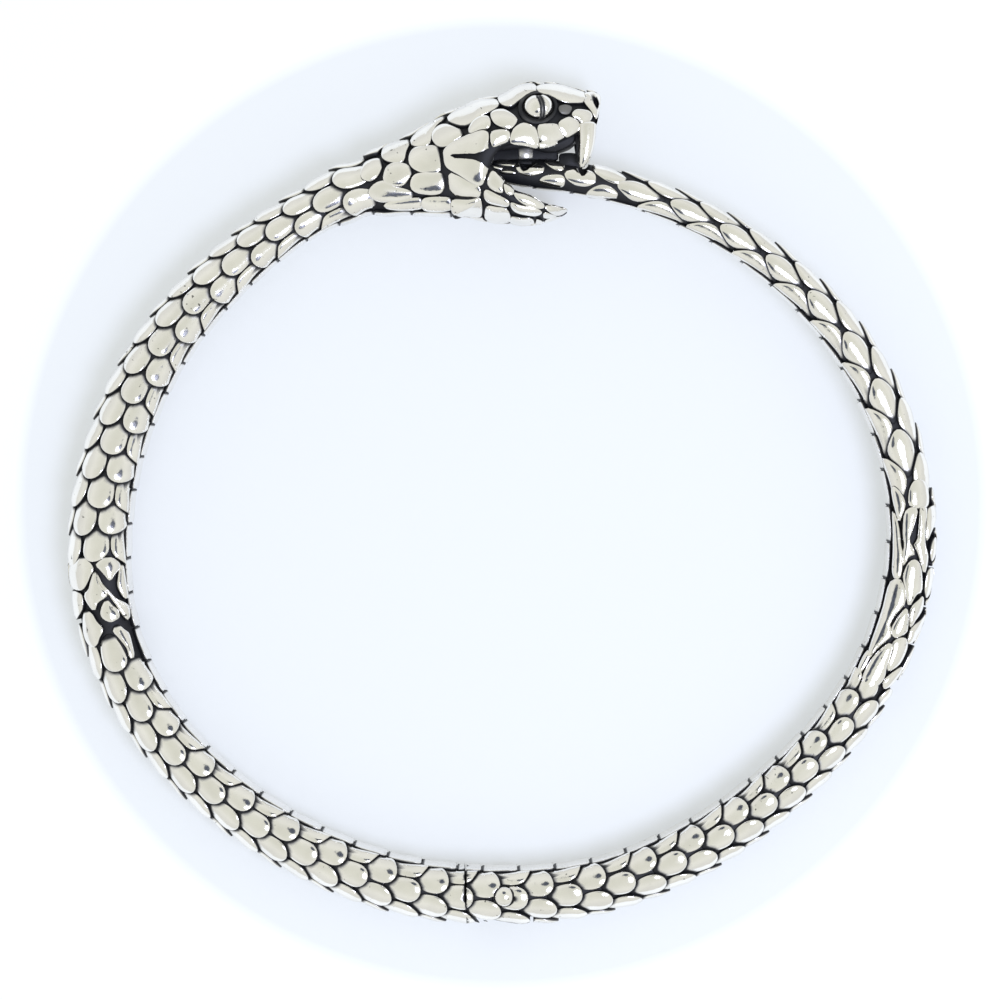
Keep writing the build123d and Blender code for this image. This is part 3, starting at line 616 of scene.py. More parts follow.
def core(sheet, body, start, end, side_depth, belly_depth, step=0.35, hollow=None):
    """The blackened body under the scales: a closed tube along the sections."""
    stations = np.linspace(start, end, max(int((end - start) / step), 8))
    sides = np.linspace(SIDE, -SIDE, 37)
    across = np.linspace(-1, 1, 11)[1:-1]       # the belly's edges are the side's ends
    loops = []
    for x in stations:
        deep = side_depth(x) if callable(side_depth) else side_depth
        ring = body.side(np.full(len(sides), x), sides, deep)
        flat = body.belly(np.full(len(across), x), across, belly_depth)
        if hollow is not None:
            flat = flat + hollow(x, across)
        loops.append(sheet.add(np.vstack((ring, flat)), 0.0))
    sheet.tube(loops)
    for loop, x, order in ((loops[0], stations[0], -1), (loops[-1], stations[-1], 1)):
        hub = sheet.add((*body.at(x)[:2], 0.0), 0.0)[0]
        sheet.fan(loop[::order], hub)


BELLY_EDGE = math.degrees(math.acos(-BELLY_CUT))


def row_centres(rows, origin, start, end, wobble=0.0):
    """Centres of the scales in staggered rows: x and y on the unrolled side, and weight."""
    centres = []
    for angle, half in rows:
        y = angle / BELLY_EDGE * SIDE
        first = math.ceil((start - origin) / SCALE_PITCH - half)
        last = math.floor((end - origin) / SCALE_PITCH - half)
        for i in range(first, last + 1):
            x = origin + (i + half) * SCALE_PITCH
            shift = wobble * math.sin(7.0 * i + angle)
            for side in ((1, -1) if angle else (1,)):
                centres.append((x + shift, side * (y + shift * 0.5), 0.0))
    return centres


def table_centres(plates, start, end):
    """Centres placed by a table, on both sides of the outermost line."""
    centres = []
    for share, angle, weight in plates:
        x = start + share * (end - start)
        for side in ((1, -1) if angle else (1,)):
            centres.append((x, side * angle / BELLY_EDGE * SIDE, weight * SCALE_PITCH))
    return centres


def scales(sheet, body, centres, start, end, keep, power=4.2, margin=0.05):
    """Domed scales in the cells of a stretch of the body, each over the base of the scales behind it."""
    found = []
    for spot, shape in cells(centres, start, end):
        if not keep(*spot):
            continue
        outline, area = rounded(shape, margin, power)
        if outline is None or area < LEAST_AREA:
            continue
        outline.middle = outline.middle + rng.normal(0, UNEVEN, 2)
        outline.away = outline.away * (1.0 + rng.normal(0, UNEVEN_SIZE))
        loop = outline.loop(26)
        loop[:, 1] = np.clip(loop[:, 1], -EDGE, EDGE)
        front = (loop[:, 0] - outline.middle[0]).max()
        back = (outline.middle[0] - loop[:, 0]).max()
        found.append((outline, loop, front, back, rng.normal(0, UNEVEN_SIZE)))
    middles = np.array([item[0].middle for item in found])
    for i, (outline, loop, front, back, lift) in enumerate(found):
        close = (np.abs(middles - outline.middle) < SCALE_REACH).all(axis=1)
        near = [found[j] for j in np.nonzero(close)[0] if j != i]

        def shade(at, depth):
            """Painted shade, with some oxide: dark where the point lies under the free end of a scale beside
            it, or near one.
            """
            value = np.ones(len(at))
            for other, _, other_front, other_back, other_lift in near:
                share = other.share(at.copy())
                off = at[:, 0] - other.middle[0]
                t = np.clip(np.where(off > 0, off / other_front, off / other_back), -1, 1)
                over = ease((depth - leaf_depth(t, 1.0, 1.0, RIM_DROP, other_lift)) / SHADE_DEEP)
                room = ease(((share - 1.0) * other_front - SHADE_GAP) / SHADE_LONG)
                value = np.minimum(value, 1 - over * (1 - room))
            return value

        leaf(sheet, body.side, loop, outline.middle, lift=lift, fade=0.34, buried=0.10, shade=shade)


def scutes(sheet, body, start, end):
    """Wide belly plates that wrap over the edge onto the side, with open seams between them."""
    count = max(round((end - start) / PLATE_PITCH), 1)
    step = (end - start) / count
    for i in range(count):
        a, b = start + i * step, start + (i + 1) * step
        middle = np.array(((a + b) / 2, 0.0))
        half = (b - a) / 2 - SEAM
        corners = [(middle[0] + u * half, v * SCUTE_WIDE) for u, v in ((1, 1), (-1, 1), (-1, -1), (1, -1))]
        outline = []
        for p, q in zip(corners, corners[1:] + corners[:1]):
            for t in np.linspace(0.05, 0.95, 6 if p[1] == q[1] else 12):
                outline.append((p[0] + (q[0] - p[0]) * t, p[1] + (q[1] - p[1]) * t))
        leaf(sheet, body.around, outline, middle, tilt=0.30, lift=-0.04, drop=0.06, fade=0.16)


def rectangle(x0, y0, x1, y1):
    return [(x0, y0), (x1, y0), (x1, y1), (x0, y1)]


def circle(x, y, radius, count=64):
    return [(x + radius * math.cos(a), y + radius * math.sin(a)) for a in angles(count)]


def prism(sheet, outline, z0, z1):
    """A plan outline raised from z0 to z1."""
    sheet.tube([sheet.add([(x, y, z) for x, y in outline], 0.0) for z in (z0, z1)], closed=True)


FAR = 8.0               # cutters that go right through end this far above and below


def prisms(sheet, outline, level):
    """Room above the level, from far out down to it, and the same below."""
    prism(sheet, outline, level, FAR)
    prism(sheet, outline, -FAR, -level)


def turned_block(along, out, long, tall):
    """A plan rectangle set along the head's axis."""
    corners = []
    for u, v in ((1, -1), (1, 1), (-1, 1), (-1, -1)):
        corners.append(tuple(head_point(along + u * long / 2, out + v * tall / 2)))
    return facing_up(corners)


def carve(thing, *makers):
    """Takes the room that each maker fills out of a piece."""
    cutters = []
    for make in makers:
        sheet = Sheet()
        make(sheet)
        tool = sheet.build("cutter")
        cutters.append(tool)
        cut = thing.modifiers.new("cut", "BOOLEAN")
        cut.operation = "DIFFERENCE"
        cut.solver = "MANIFOLD"
        cut.object = tool
    graph = bpy.context.evaluated_depsgraph_get()
    done = bpy.data.meshes.new_from_object(thing.evaluated_get(graph))
    old = thing.data
    thing.modifiers.clear()
    thing.data = done
    bpy.data.meshes.remove(old)
    for tool in cutters:
        bpy.data.objects.remove(tool)


PIN = np.array(band_section(0.0)[:2])
BAND_END = ROUND + PIN[0]
HEAD_TIP = HEAD_WAY - HEAD_LONG
# Both halves are made longer than they are past the hinge pin, and cut round later
TAIL_ROOT = -6.0
TAIL_CORE = -5.0
HEAD_PAST = 3.0
CORE_PAST = 2.2
SKIN_PAST = 2.0
head_body = Body(head_section, HEAD_TIP, ROUND + HEAD_PAST)
jaw_body = Body(jaw_section, 0.0, JAW_LONG)
tail_body = Body(tail_section, TAIL_ROOT, TAIL_TIP)


# Head arm: blackened core
def roof(x, across):
    """Hollows the roof of the mouth."""
    along = (HEAD_WAY - x) / HEAD_LONG
    inside = ease((along - ROOF[0]) / ROOF_END) * ease((ROOF[1] - along) / ROOF_END)
    depth = PALATE_DEEP * inside * np.clip((1 - np.abs(across)) / ROOF_RIM, 0.0, 1.0)
    return np.column_stack((HEAD_OUT[0] * depth, HEAD_OUT[1] * depth, np.zeros(len(across))))


# Stretches whose plates are given as outlines
LEFT_CARVED = (145.5, 154.0)
RIGHT_CARVED = (36.5, 52.0)
TAIL_CARVED = 86.6

arm = Sheet()
core(arm, head_body, HEAD_TIP + CORE_INSET, ROUND + CORE_PAST, FLOOR, BELLY_FLOOR, hollow=roof)
jaw = Sheet()
core(jaw, jaw_body, 0.2, JAW_LONG - CORE_INSET, JAW_FLOOR, BELLY_FLOOR, step=0.25)

# Spots in the neck: shares along the head and outwards, and weight. They bound the band's first cells
NECK_SPOTS = (
    (0.390, 0.33, 0.40), (0.331, 0.57, 0.30), (0.210, 0.29, 0.30), (0.209, 0.65, 0.30), (0.300, 0.80, 0.25),
    (0.100, 0.42, 0.20), (0.071, 0.10, 0.20), (0.176, -0.10, 0.25), (0.290, -0.36, 0.30),
    (0.075, -0.28, 0.15), (0.120, 0.62, 0.20), (0.440, 0.87, 0.40), (0.472, 0.61, 0.25),
)


def neck_centres():
    """The neck's spots on the unrolled side, from their places in plan."""
    centres = []
    for along, out, weight in NECK_SPOTS:
        s = HEAD_WAY - along * HEAD_LONG
        cut = head_section(s)
        point = head_point(along * HEAD_LONG, out * HEAD_TALL)
        rise = (point[0] - cut[0]) * cut[2] + (point[1] - cut[1]) * cut[3]
        angle = math.acos(min(max(rise / cut[4], -cut[6] * 0.98), 0.985))
        for side in (1, -1):
            centres.append((s, side * angle / math.acos(-cut[6]) * SIDE, weight * SCALE_PITCH))
    return centres


origin = HEAD_ARM_PHASE * ROUND
left, right = LEFT_JOIN[0] * ROUND, LEFT_JOIN[1] * ROUND
arm_centres = row_centres(BAND_ROWS, origin, HEAD_WAY, left)
arm_centres += row_centres(BAND_ROWS, origin, left, right, JOIN_WOBBLE)
arm_centres += row_centres(BAND_ROWS, origin, right, BAND_END + SCALE_PITCH)
arm_centres += neck_centres()
scales(arm, head_body, arm_centres, HEAD_TIP, BAND_END + SKIN_PAST,
       lambda x, y: x > HEAD_WAY + 1.0 and not LEFT_CARVED[0] < x < LEFT_CARVED[1])
scutes(arm, head_body, HEAD_WAY - THROAT * HEAD_LONG, BAND_END + SKIN_PAST)

# Plates of head, neck, jaw, joins and tail tip, outlined where the photograph shows them, in its pixels
HEAD_OUTLINES = (
    ((447, 116), (455, 109), (468, 101), (484, 97), (494, 97), (498, 102), (492, 108), (480, 114),
     (465, 123), (456, 122), (449, 119)),
    ((499, 97), (508, 92), (520, 86), (531, 84), (536, 86), (534, 90), (526, 93), (518, 98), (511, 104),
     (504, 104), (500, 101)),
    ((537, 85), (548, 82), (561, 83), (574, 86), (583, 90), (586, 95), (583, 100), (575, 101), (566, 101),
     (558, 98), (549, 93), (540, 91)),
    ((585, 92), (594, 91), (599, 95), (601, 104), (599, 113), (597, 118), (592, 110), (585, 101),
     (587, 96)),
    ((573, 113), (578, 109), (588, 110), (592, 117), (584, 124), (579, 119), (574, 116)),
    ((559, 124), (564, 119), (570, 117), (577, 120), (580, 126), (579, 130), (567, 137), (563, 131)),
    ((539, 126), (549, 124), (558, 125), (561, 131), (564, 137), (556, 141), (544, 142), (540, 138)),
    ((540, 144), (551, 142), (558, 143), (553, 147), (545, 149), (540, 148)),
    ((511, 143), (512, 135), (515, 128), (523, 123), (531, 125), (536, 129), (539, 138), (537, 148),
     (530, 147), (520, 145)),
    ((491, 134), (497, 130), (508, 131), (510, 137), (505, 143), (494, 146)),
    ((491, 113), (496, 109), (503, 108), (509, 111), (516, 118), (514, 124), (509, 128), (500, 125),
     (494, 121)),
    ((469, 128), (474, 119), (486, 115), (490, 121), (488, 127), (478, 128), (470, 131)),
    ((453, 202), (470, 202), (480, 200), (480, 217), (465, 217), (454, 215)),
)
CHEEK_OUTLINES = (
    ((444, 156), (445, 149), (455, 141), (471, 133), (485, 131), (488.5, 136), (488, 146), (489, 156),
     (488.5, 168), (486, 178), (480, 185), (472, 182), (460, 174), (447, 166)),
)
DULL_OUTLINES = (
    ((560, 106), (565, 104), (571, 106), (569, 112), (563, 113), (560, 110)),
)
NECK_OUTLINES = (
    ((432, 137), (434, 128), (444, 122), (460, 128), (461, 133), (454, 138), (449, 143), (438, 144)),
    ((409, 156), (414, 147), (426, 144), (437, 145), (439, 156), (439, 170), (421, 171), (411, 165)),
    ((411, 141), (421, 129), (433, 120), (442, 115), (445, 116), (437, 122.5), (432, 130), (428, 142),
     (415, 144)),
    ((411, 186), (414, 176), (424, 173), (442, 174), (444, 184), (441, 193), (430, 195), (416, 192)),
    ((384, 176), (387, 166), (395, 161), (405, 163), (411, 168), (409, 177), (402, 185), (392, 185),
     (385, 182)),
    ((382, 152), (388, 143), (400, 139), (409, 139), (405, 148), (402, 159), (390, 160), (383, 157)),
    ((369, 193), (375, 184), (386, 181), (395, 187), (405, 190), (414, 195), (405, 202), (392, 203),
     (376, 201)),
    ((361, 172), (364, 162), (371, 157), (378, 156), (381, 163), (377, 174), (370, 180), (363, 178)),
    ((425, 200), (449, 200), (451, 211.5), (425, 211.5)),
    ((386, 205), (420, 200), (421, 211.5), (392, 210.5)),
)
JAW_OUTLINES = (
    ((445, 174), (449, 171), (459, 174), (470, 181), (479, 187), (479, 197), (468, 199), (458, 200),
     (450, 192), (446, 183)),
    ((488, 185), (490, 175), (493, 170), (499, 174), (504, 178), (502, 184), (502, 192), (495, 191)),
    ((504, 184), (509, 182), (513, 188), (512, 194), (506, 193)),
    ((484, 197), (486, 191), (496, 195), (508, 201), (507, 207), (496, 206), (487, 203)),
    ((514, 193), (520, 192), (531, 195), (542, 202), (543, 208), (533, 208), (520, 202)),
    ((511, 205), (514, 204), (526, 207), (539, 210), (541, 214), (535, 217), (524, 216), (514, 212)),
    ((546, 206), (555, 204), (564, 208), (567, 211), (561, 216), (548, 211)),
    ((546, 213), (556, 217), (545, 219)),
    ((453, 202), (470, 202), (480, 200), (480, 217), (465, 217), (454, 215)),
    ((487, 209), (497, 209), (507, 211), (508, 221), (487, 219)),
    ((511, 219), (522, 220), (532, 220), (532, 225), (512, 224)),
)
LEFT_OUTLINES = (
    ((95.9, 564.9), (102.4, 559.5), (109.9, 557.2), (117.3, 560.3), (121.3, 564.2), (120.5, 567.8),
     (114.8, 574.7), (110.3, 580.2), (104.5, 574), (98.7, 568.2)),
    ((89.3, 583.1), (93.7, 571.9), (95.6, 574.8), (99.5, 585.2), (105.7, 592.2), (106.9, 595.1),
     (104.9, 597.2), (96.6, 602.6), (94.1, 610.1), (90.8, 608.4), (84.3, 599.7), (83.5, 594.7),
     (87.5, 589.8)),
    ((95.9, 573.2), (99.1, 579), (102.4, 585.6), (109, 590.6), (115.7, 598), (123.9, 601.8), (129.8, 605.5),
     (130.7, 613.8), (129.1, 619.2), (123.1, 613.4), (118.3, 606.3), (113.2, 599.7), (107.4, 592.7),
     (100.7, 585.2)),
    ((100.5, 614.6), (101.7, 606.7), (106.7, 600.5), (113.2, 605.9), (118.4, 610.1), (119.6, 616.3),
     (115.7, 619.4), (110.7, 621.3), (103.6, 618.6)),
    ((85.1, 611.7), (90, 615), (94.9, 622.5), (101.7, 629.7), (97.8, 637.8), (95.8, 644.1), (91.6, 646.6),
     (86, 643.5), (81.8, 634.5), (80.7, 622.9), (81.8, 613.8)),
    ((113.6, 631.2), (119, 625.8), (126.4, 630.4), (130.2, 633.3), (132.7, 643.6), (134.3, 655.7),
     (130.7, 657.3), (127.7, 647.8), (119.8, 637.8)),
    ((121.5, 565.7), (124.8, 565.3), (126.4, 574.8), (127.9, 586.4), (128.8, 596.8), (125.2, 596.8),
     (119.4, 586.4), (120.2, 574.8)),
    ((78.8, 558.1), (85, 560), (92, 568.8), (88.8, 575), (85.6, 582.5), (81.9, 588.8), (77.5, 590.2),
     (72.5, 586.2), (69.8, 578.8), (69.4, 570), (71.9, 562.5)),
    ((72.1, 591.9), (76.2, 593.5), (79.8, 597.5), (80.4, 607.5), (78.8, 614.4), (76.5, 618.8), (74, 610)),
)
RIGHT_OUTLINES = (
    ((909, 501.9), (909.8, 492.3), (913.8, 482.8), (920.2, 479.9), (927.4, 483.6), (930.5, 493.9),
     (929.7, 505.9), (920.2, 508.3), (911.4, 506.4)),
    ((905.8, 511.8), (911.4, 508), (917.8, 508.9), (916.2, 517.8), (913, 529), (909.8, 537), (909.3, 541),
     (913, 548.1), (915.1, 554.5), (909, 556.9), (903.4, 565.7), (902.8, 552.9), (904.2, 545),
     (902.6, 533.8), (903.4, 521)),
    ((921.5, 508), (927.8, 508.9), (926.2, 524.2), (925.8, 543.4), (929.7, 556.1), (928.9, 565.7),
     (926.2, 573.7), (922.6, 564.1), (918.6, 551.3), (914.6, 543.4), (918.6, 540.2), (920.2, 524.2)),
    ((930.1, 509.1), (934.2, 507.5), (934.5, 517.8), (932.1, 530.6), (929.3, 540.2), (928.1, 533.8),
     (928.5, 522.6)),
    ((934.8, 541), (937.4, 538.9), (936.9, 552.9), (934.5, 560.9), (932.9, 552.9)),
    ((904.2, 572.9), (909, 563.3), (915.7, 560), (920.7, 565.7), (923.4, 578.5), (923.4, 591.2),
     (917.8, 595.2), (911.4, 604.8), (908.7, 604), (905.8, 591.2), (903.4, 580)),
    ((929.3, 572.1), (932.1, 569.2), (932.9, 578.5), (930.5, 591.2), (927.7, 597.6), (926.9, 588)),
    ((891.8, 511.8), (894.7, 516.3), (897.8, 527.4), (899.8, 545), (901.8, 552.9), (901, 572.1),
     (896.6, 580), (891, 572.1), (891.8, 549.7), (892.3, 530.6)),
    ((891.1, 487.1), (897.8, 490.7), (903.4, 498.7), (904.7, 506.7), (901, 516.3), (897.8, 521),
     (894.7, 512.3), (891.9, 500.3)),
    ((889.9, 582), (897.8, 579.1), (903.1, 584.8), (905.8, 597.6), (903.9, 605.6), (894.7, 614.8),
     (889.2, 625.5), (891.8, 635.1), (881.9, 643.8), (873.9, 651), (867.2, 659), (868.8, 645.4),
     (876.3, 623.1), (881.9, 607.2), (885.9, 591.2)),
    ((906.1, 609.1), (908.2, 613.5), (909, 624.7), (907.9, 632.4), (902.6, 635.9), (896.6, 638.4),
     (892.4, 634), (892.1, 627.6), (897.8, 618.6)),
    ((912.2, 627.1), (911.1, 614.3), (914.1, 606.4), (920.2, 600.8), (923.8, 597.6), (924.6, 605.6),
     (922.6, 612.7), (917, 620.7)),
    ((913.8, 628.7), (925.8, 614.3), (924.2, 619.9), (917, 635.9), (913, 643.5), (909.6, 643),
     (911.1, 635.9)),
    ((894, 642.6), (901, 638.7), (907.1, 640.3), (907.9, 650.2), (903.4, 661.4), (897.8, 668.2),
     (889.6, 670.6), (889.2, 661.4), (892.6, 650.2)),
    ((862.4, 675.7), (870.7, 659.8), (881.9, 648.6), (891.5, 643.5), (890.5, 655), (887, 667.4),
     (885.7, 677.3), (879.5, 685.6), (870.7, 686.3), (864.4, 683.4)),
    ((885.4, 681.4), (892.9, 674.6), (901.4, 668.6), (903, 670.4), (894.6, 684.6), (886.2, 689.6)),
    ((867, 650.5), (869, 655), (866.5, 661.5), (862, 669), (858.5, 672), (857.2, 667.5), (861, 658.5)),
)
MOUTH_OUTLINES = (
    ((496.3, 162), (499.7, 160), (505.4, 159.4), (511.2, 160.4), (515.2, 162), (513.5, 165.2),
     (507.7, 165.6), (500.8, 164.6)),
    ((516, 164.7), (519.2, 161.8), (525, 161.3), (531.8, 161.8), (537.6, 161.8), (542.2, 162.8),
     (545.1, 166.4), (543.3, 171.6), (536.4, 174.5), (528.4, 176.2), (520.4, 173.3), (516.7, 169)),
    ((545.6, 160.7), (551.4, 159.6), (559.4, 160.7), (564.6, 163.6), (563.4, 168.7), (558.3, 169.7),
     (551.4, 166.4)),
    ((539.9, 181.6), (543.9, 176.8), (550.2, 174.2), (558.3, 173.9), (563.4, 176.2), (565.1, 182.5),
     (561.7, 188.3), (552.5, 187.7), (543.3, 184.8)),
    ((565.1, 173.3), (567.4, 169.7), (572, 167.6), (578.9, 167), (588.1, 168.7), (593.8, 171),
     (596.4, 175.6), (595, 183.1), (585.8, 187.1), (575.5, 185.4), (568, 180.2)),
    ((593.4, 164.9), (600.1, 165.5), (608.3, 167.8), (617.6, 171.3), (624.5, 174.8), (627.1, 177.7),
     (623.6, 180.2), (618.7, 183.3), (610, 181.2), (601.3, 175.9), (595.5, 170.7)),
    ((587, 196.3), (590.4, 190.6), (598.4, 186), (605.3, 185.2), (612.2, 188.3), (616.8, 194),
     (615.7, 199.7), (603, 199.2)),
    ((491.7, 164.7), (497.4, 165.3), (502.6, 167.6), (499.7, 169.7), (494, 168.7)),
    ((500.3, 171.6), (506.6, 170.1), (513.5, 171), (515.2, 173.9), (508.9, 174.7), (502.6, 173.9)),
)


NEAR_CREST = 1.3        # a plate that ends nearer to the outermost line is drawn up to it
CREST_REACH = 2.2       # only its points within this reach move
CREST_SEAM = 0.05
CREST_GAP = 0.12        # between the small plates on that line and the outlined ones


def over_crest(loop):
    """Draws a plate that ends near the outermost line up to it, where the photograph sees it edge-on."""
    y = loop[:, 1]
    least = y.min()
    if least > NEAR_CREST:
        return loop
    drawn = CREST_REACH - (CREST_REACH - y) * (CREST_REACH - CREST_SEAM) / (CREST_REACH - least)
    return np.column_stack((loop[:, 0], np.where(y < CREST_REACH, drawn, y)))


def crest_plates(sheet, body, loops, start, end, count, widest=1.2, least=0.40, **looks):
    """Plates along the outermost line, as wide as the outlined ones beside them leave room for."""
    marks = np.linspace(start, end, 24 * count + 1)
    room = np.full(len(marks), widest)
    for loop in loops:
        after = np.roll(loop, -1, axis=0)
        for k, x in enumerate(marks):
            across = (loop[:, 0] - x) * (after[:, 0] - x) < 0
            if across.any():
                p, q = loop[across], after[across]
                y = p[:, 1] + (q[:, 1] - p[:, 1]) * (x - p[:, 0]) / (q[:, 0] - p[:, 0])
                room[k] = min(room[k], y.min() - CREST_GAP)
    room = np.array([room[max(k - 2, 0):k + 3].min() for k in range(len(marks))])
    step = (end - start) / count
    share = np.cos(np.linspace(0, math.pi, 15))
    bulge = (1 - np.abs(share) ** 3) ** (1 / 3)
    for i in range(count):
        x = start + (i + 0.5) * step + share * (step / 2 - SEAM)
        half = np.maximum(np.interp(x, marks, room), 0.02) * bulge
        if half.max() < least:
            continue
        loop = np.vstack((np.column_stack((x, half)), np.column_stack((x, -half))[-2:0:-1]))
        leaf(sheet, body.side, loop, (x.mean(), 0.0), **looks)


GROWN = 0.07            # the outlines run along the plates' bright tops, inside their edges


def plates(sheet, body, outlines, count=30, **looks):
    """Plates outlined in the photograph, and their mirror images below. Returns the outlines."""
    found = []
    for outline in outlines:
        spots = [photo_spot(body, *p) for p in outline]
        middle = np.mean(spots, axis=0)
        loop = spline_loop(spots, count)
        along = np.roll(loop, -1, axis=0) - np.roll(loop, 1, axis=0)
        outward = unit(np.column_stack((along[:, 1], -along[:, 0])))
        if ((loop - middle) * outward).sum() < 0:
            outward = -outward
        loop = over_crest(loop + outward * GROWN)
        middle = loop.mean(axis=0)
        found.append(loop)
        for side in (1, -1):
            leaf(sheet, body.side, loop * (1, side), middle * (1, side), **looks)
    return found


# How each group lies: tilt to the base end, and how far the edge drops
HEAD_LIE = {"tilt": 0.12, "drop": 0.15, "fade": 0.0}
LEFT_LIE = {"tilt": 0.20, "drop": 0.17}
RIGHT_LIE = {"tilt": 0.15, "drop": 0.18, "fade": 0.0}
JAW_LIE = {"tilt": 0.10, "drop": 0.15, "fade": 0.0}
CREST_INSET = 0.3

taken = plates(arm, head_body, HEAD_OUTLINES, lift=0.02, **HEAD_LIE)
cheek = Sheet()
plates(cheek, head_body, CHEEK_OUTLINES, count=120, lift=0.02, rings=np.linspace(0.985, 0.03, 26), **HEAD_LIE)
plates(arm, head_body, DULL_OUTLINES, lift=-0.02, shade=lambda at, depth: np.full(len(at), 0.36), **HEAD_LIE)
taken += plates(arm, head_body, NECK_OUTLINES, tilt=0.45, drop=0.16, fade=0.22)
crest_plates(arm, head_body, taken, HEAD_TIP + 1.0, HEAD_WAY + 1.0, 6, tilt=0.20, drop=0.15, fade=0.0)
crest_plates(arm, head_body, taken, HEAD_TIP + 0.15, HEAD_TIP + 1.0, 1, least=0.25, tilt=0.10, drop=0.12,
             fade=0.0)
taken = plates(arm, head_body, LEFT_OUTLINES, fade=0.12, **LEFT_LIE)
crest_plates(arm, head_body, taken, LEFT_CARVED[0] + CREST_INSET, LEFT_CARVED[1] - CREST_INSET, 3, fade=0.0,
             **LEFT_LIE)
taken = plates(jaw, jaw_body, JAW_OUTLINES, **JAW_LIE)
crest_plates(jaw, jaw_body, taken, 0.4, JAW_LONG - 0.5, 7, widest=1.9, least=0.45, **JAW_LIE)

# Plates on the snout's front, between the fangs: place across and half the width, where 1 is the edge
SNOUT_PLATES = ((0.0, 0.34), (0.70, 0.27), (-0.70, 0.27))
SNOUT_FRONT = 0.962 * HEAD_LONG
SNOUT_HALF = 0.026 * HEAD_LONG
turn = angles(24)
square = np.column_stack([np.sign(way) * np.abs(way) ** 0.6 for way in (np.cos(turn), np.sin(turn))])
for across, wide in SNOUT_PLATES:
    front = np.array((HEAD_WAY - SNOUT_FRONT, across))
    leaf(arm, head_body.belly, front + square * (SNOUT_HALF, wide), front, tilt=0.1, lift=0.02, drop=0.12,
         fade=0.0, skirt=0.40)

# Eyes: a ball with a curved upright slit, sunk in a dark socket
EYE_PHOTO = (537.8, 106.8)
EYE_FLAT = 0.72
EYE_TALL = 0.86
SLIT_LINE = (0.318, 0.081, -0.196)      # its place on the ball, curved with the height
SLIT_HALF = 0.17
SLIT_SOFT = 0.07
SLIT_DEEP = 0.08
SLIT_DARK = 0.95        # its tone is this much lower at its rim
SLIT_LIT = 0.35         # and its middle line, this wide, is that much brighter again
SLIT_LIT_HALF = 0.12
BALL_END = 0.62         # how far the ball goes back into its socket, and how far it is bright, in half turns
BALL_BRIGHT = 0.46
LID_LONG = 1.43
LID_TALL = 1.24
LID_DEEP = 0.36
LID_R = 0.17
LID_TONE = 0.16
eye_spot = np.array(photo_spot(head_body, *EYE_PHOTO))
eye = head_body.side(*eye_spot[:, None], np.array([0.0]))[0]
eye_high = eye[2]
eye = eye[:2]


def eyeball(sheet, side):
    """Rings from the front of the ball back into its socket, bright but for the slit."""
    z0 = side * (eye_high - EYE_SUNK)
    loops = []
    angle = angles(44)
    for tilt in np.linspace(0.02, BALL_END * math.pi, 22):
        u = np.sin(tilt) * np.cos(angle)
        v = np.sin(tilt) * np.sin(angle)
        slit = np.abs(u - (SLIT_LINE[0] + SLIT_LINE[1] * v + SLIT_LINE[2] * v * v))
        inside = 1 - ease((slit - SLIT_HALF) / SLIT_SOFT)
        radius = EYE_R * (1 - SLIT_DEEP * inside)
        plan = eye[:, None] - HEAD_RUN[:, None] * (u * radius) + HEAD_OUT[:, None] * (v * radius * EYE_TALL)
        z = z0 + side * radius * EYE_FLAT * math.cos(tilt)
        dark = SLIT_DARK - SLIT_LIT * (1 - ease(slit / SLIT_LIT_HALF))
        tone = np.where(tilt < BALL_BRIGHT * math.pi, 1 - inside * dark, 0.0)
        loops.append(sheet.add(np.column_stack((*plan, z)), tone))
    if side > 0:
        loops = loops[::-1]
    sheet.tube(loops)
    sheet.faces.append(tuple(loops[-1] if side > 0 else loops[0][::-1]))


def eyelid(sheet, side):
    """The raised dark rim round the eye, lying on the sunken floor of the socket."""
    spots = []
    for angle in angles(48):
        plan = eye - HEAD_RUN * LID_LONG * math.cos(angle) + HEAD_OUT * LID_TALL * math.sin(angle)
        spots.append((*plan, side * (head_body.place(*plan)[2] - LID_DEEP)))
    spots = np.array(spots)
    out = unit(np.column_stack((spots[:, :2] - eye, np.zeros(48))))
    up = np.array((0.0, 0.0, float(side)))
    loops = []
    for angle in angles(10):
        tone = LID_TONE if math.sin(angle) > 0.3 else 0.0
        loops.append(sheet.add(spots + out * LID_R * math.cos(angle) + up * LID_R * math.sin(angle), tone))
    for a, b in zip(loops, loops[1:] + loops[:1]):
        sheet.band(*(b, a)[::side])


eyes = Sheet()
for side in (1, -1):
    eyeball(eyes, side)
    eyelid(eyes, side)

# Fangs, flattened across the head, and behind each a black blade of painted shade
fangs = Sheet()
tail_high = tail_section(HEAD_WAY - BITE_AT[0] * HEAD_LONG)[5]
spread = tail_high + CLASP_GAP + 0.5 * FANG_FLAT * FANG_R
